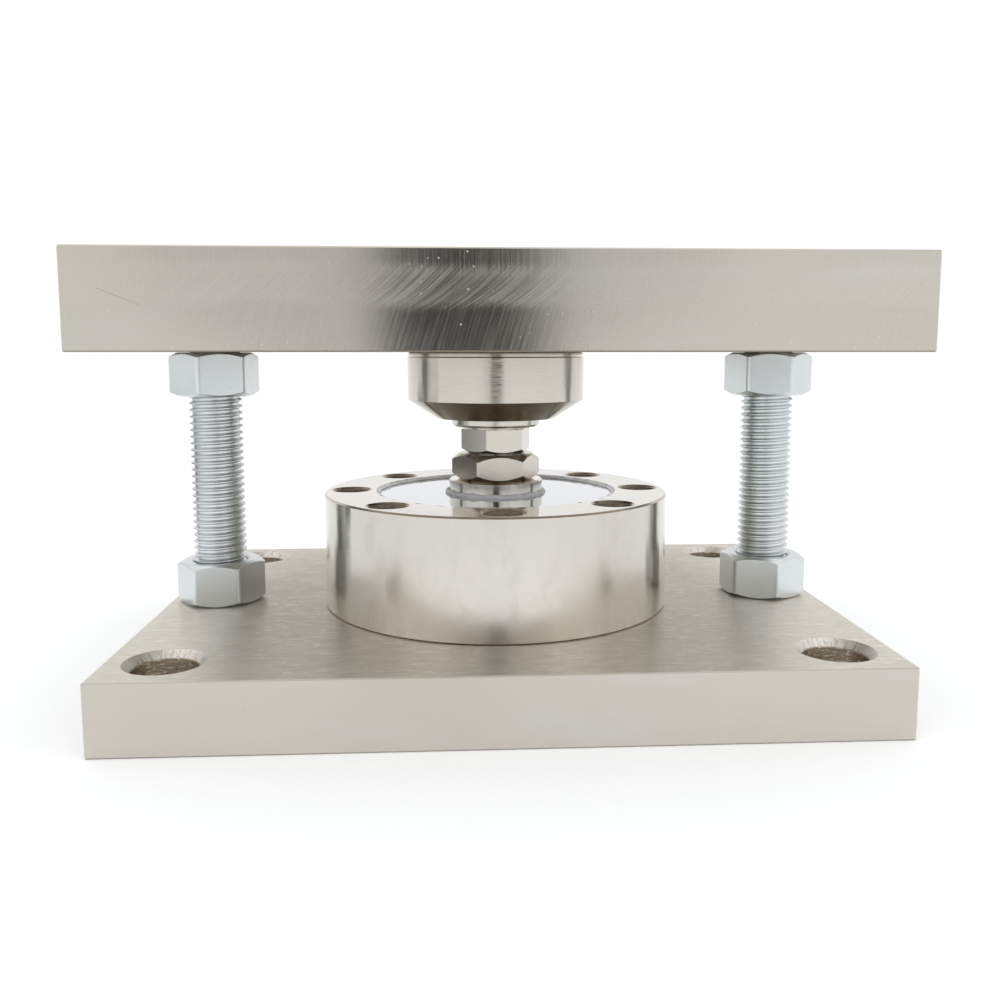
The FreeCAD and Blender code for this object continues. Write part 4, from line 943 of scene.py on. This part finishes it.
class WEIGHMODULE_OT_studio(bpy.types.Operator):
    """Set up the pale floor, the soft lamps, the sky and the camera"""

    bl_idname = "weighmodule.studio"
    bl_label = "Set Up Studio"

    def floor(self, settings):
        """A wide pale floor that looks white outside the module's soft shadow; in metal it also shows a
        painted pool of light in front of the module.
        """
        start_clean()
        bpy.ops.mesh.primitive_plane_add(size=FLOOR_WIDTH, location=(0, 0, FLOOR_LEVEL))
        piece = bpy.context.object
        piece.name = "floor"
        place(piece)
        finish = Finish("floor_finish", settings.floor, 0.8, metallic=0.0)
        finish.shader.inputs["Specular IOR Level"].default_value = 0.0
        tree = finish.tree
        glow = tree.nodes.new("ShaderNodeEmission")
        # Painted light: a glowing pool round a spot in front of the module, shown only to metal, fills its
        # shadow in reflections
        ahead = finish.y + 120.0
        painted_light_pool = (finish.x * finish.x + ahead * ahead).root().below(60.0, 230.0)
        camera, metal, glass = ray_kinds(tree)
        strength = (camera + metal + glass) * FLOOR_GLOW + metal * painted_light_pool * PAINTED_POOL_GLOW
        plug(tree, strength, glow.inputs["Strength"])
        both = tree.nodes.new("ShaderNodeAddShader")
        tree.links.new(finish.shader.outputs[0], both.inputs[0])
        tree.links.new(glow.outputs[0], both.inputs[1])
        tree.links.new(both.outputs[0], tree.nodes["Material Output"].inputs["Surface"])
        piece.data.materials.append(finish.done())

    def sky(self, settings):
        """Soft light from all round; the camera, metal and glass show it as plain white."""
        world = bpy.data.worlds.new("studio_sky")
        bpy.context.scene.world = world
        world.use_nodes = True
        tree = world.node_tree
        soft = tree.nodes["Background"]
        soft.inputs["Color"].default_value = (*settings.daylight, 1.0)
        soft.inputs["Strength"].default_value = 0.95
        white = tree.nodes.new("ShaderNodeBackground")
        white.inputs["Color"].default_value = (1.0, 1.0, 1.0, 1.0)
        choose = tree.nodes.new("ShaderNodeMixShader")
        camera, metal, glass = ray_kinds(tree)
        plug(tree, (camera + metal + glass).smaller(1.0), choose.inputs["Fac"])
        tree.links.new(soft.outputs[0], choose.inputs[1])
        tree.links.new(white.outputs[0], choose.inputs[2])
        tree.links.new(choose.outputs[0], tree.nodes["World Output"].inputs["Surface"])

    def lamp(self, name, place, size, power, colour):
        """A square soft box that shines at the module."""
        light = bpy.data.lights.new(name, "AREA")
        light.shape = "SQUARE"
        light.size = size
        light.energy = power
        light.color = colour
        lamp = bpy.data.objects.new(name, light)
        bpy.context.scene.collection.objects.link(lamp)
        lamp.location = place
        lamp.rotation_euler = (Vector(LAMP_TARGET) - Vector(place)).to_track_quat("-Z", "Y").to_euler()

    def dark_card(self, name, low, high, shade):
        """A card that only reflections show, dark as the things that stand round a camera."""
        start_clean()
        span = Vector(high) - Vector(low)
        bpy.ops.mesh.primitive_plane_add(size=1.0, location=(Vector(low) + Vector(high)) / 2)
        card = bpy.context.object
        card.name = name
        sideways = span.x == 0
        card.rotation_euler = (0, radians(90), 0) if sideways else (radians(90), 0, 0)
        card.scale = (span.z, span.y, 1.0) if sideways else (span.x, span.z, 1.0)
        place(card)
        card.visible_camera = False
        card.visible_diffuse = False
        card.visible_shadow = False
        card.visible_transmission = False
        finish = Finish(name + "_finish", shade, 0.9, metallic=0.0)
        card.data.materials.append(finish.material)
        return finish

    def cards(self, settings):
        """The dark camera with soft sides, and a dark flag on the left."""
        eye = Vector(settings.eye)
        finish = self.dark_card(
            "camera_card", (eye.x - 0.15, eye.y - 0.01, 0.012), (eye.x + 0.13, eye.y - 0.01, 0.42),
            (0.045, 0.046, 0.048),
        )
        aside = finish.x - eye.x / MM
        under = (68.0 - finish.z).larger(0.0) * 3.0
        body = (aside - under).above(-48.0, -17.0) * (aside + under).below(22.0, 66.0)
        haze = ((aside + 18.0).size() - (finish.z - 78.0) * 1.2).below(43.0, 79.0)
        plug(finish.tree, (body * 0.74 + haze * 0.25).smaller(1.0), finish.shader.inputs["Alpha"])
        finish.done()
        finish = self.dark_card("left_flag", (-0.20, -0.05, 0.015), (-0.20, 0.105, 0.100), (0.12, 0.12, 0.11))
        rear = finish.y.above(27.0, 33.0)
        low_part = rear * finish.z.below(70.0, 74.0)
        high_part = (1.0 - rear) * finish.z.above(38.0, 43.0) * (0.12 + finish.z.below(66.0, 74.0) * 0.40)
        plug(finish.tree, low_part + high_part, finish.shader.inputs["Alpha"])
        finish.done()

    def execute(self, context):
        settings = context.scene.weigh_studio
        self.floor(settings)
        self.sky(settings)
        for name, place, size, power in LAMPS:
            self.lamp(name, place, size, power, tuple(settings.daylight))
        self.cards(settings)
        camera = bpy.data.cameras.new("front_camera")
        camera.lens = settings.lens
        camera.sensor_width = SENSOR_WIDTH
        camera.shift_x = settings.shift_x
        camera.shift_y = settings.shift_y
        camera.clip_start = 0.01
        camera.clip_end = 50.0
        viewer = bpy.data.objects.new("front_camera", camera)
        context.scene.collection.objects.link(viewer)
        viewer.location = settings.eye
        viewer.rotation_euler = (pi / 2 - settings.fall, 0.0, -settings.heading)
        context.scene.camera = viewer
        context.scene.view_settings.view_transform = "Standard"
        return {"FINISHED"}


class WEIGHMODULE_PT_panel(bpy.types.Panel):
    """Lists the steps in order, with the settings that each one reads"""

    bl_label = "Weigh Module"
    bl_idname = "WEIGHMODULE_PT_panel"
    bl_space_type = "VIEW_3D"
    bl_region_type = "UI"
    bl_category = "Weigh Module"

    def draw(self, context):
        layout = self.layout
        for step in STEPS:
            layout.operator("weighmodule." + step)
        for group in ("weigh_thread", "weigh_sealant", "weigh_finishes", "weigh_studio"):
            box = layout.box()
            settings = getattr(context.scene, group)
            for name in settings.__annotations__:
                box.prop(settings, name)


STEPS = ("plates", "studs", "cell", "sealant", "foot", "gland", "studio")
GROUPS = {
    "weigh_thread": ThreadSettings,
    "weigh_sealant": SealantSettings,
    "weigh_finishes": FinishSettings,
    "weigh_studio": StudioSettings,
}
CLASSES = (
    *GROUPS.values(),
    WEIGHMODULE_OT_plates,
    WEIGHMODULE_OT_studs,
    WEIGHMODULE_OT_cell,
    WEIGHMODULE_OT_sealant,
    WEIGHMODULE_OT_foot,
    WEIGHMODULE_OT_gland,
    WEIGHMODULE_OT_studio,
    WEIGHMODULE_PT_panel,
)


def register():
    for cls in CLASSES:
        bpy.utils.register_class(cls)
    for name, group in GROUPS.items():
        setattr(bpy.types.Scene, name, PointerProperty(type=group))


def unregister():
    for name in GROUPS:
        delattr(bpy.types.Scene, name)
    for cls in reversed(CLASSES):
        bpy.utils.unregister_class(cls)


def main():
    register()
    for step in STEPS:
        getattr(bpy.ops.weighmodule, step)()


if __name__ == "__main__":
    main()
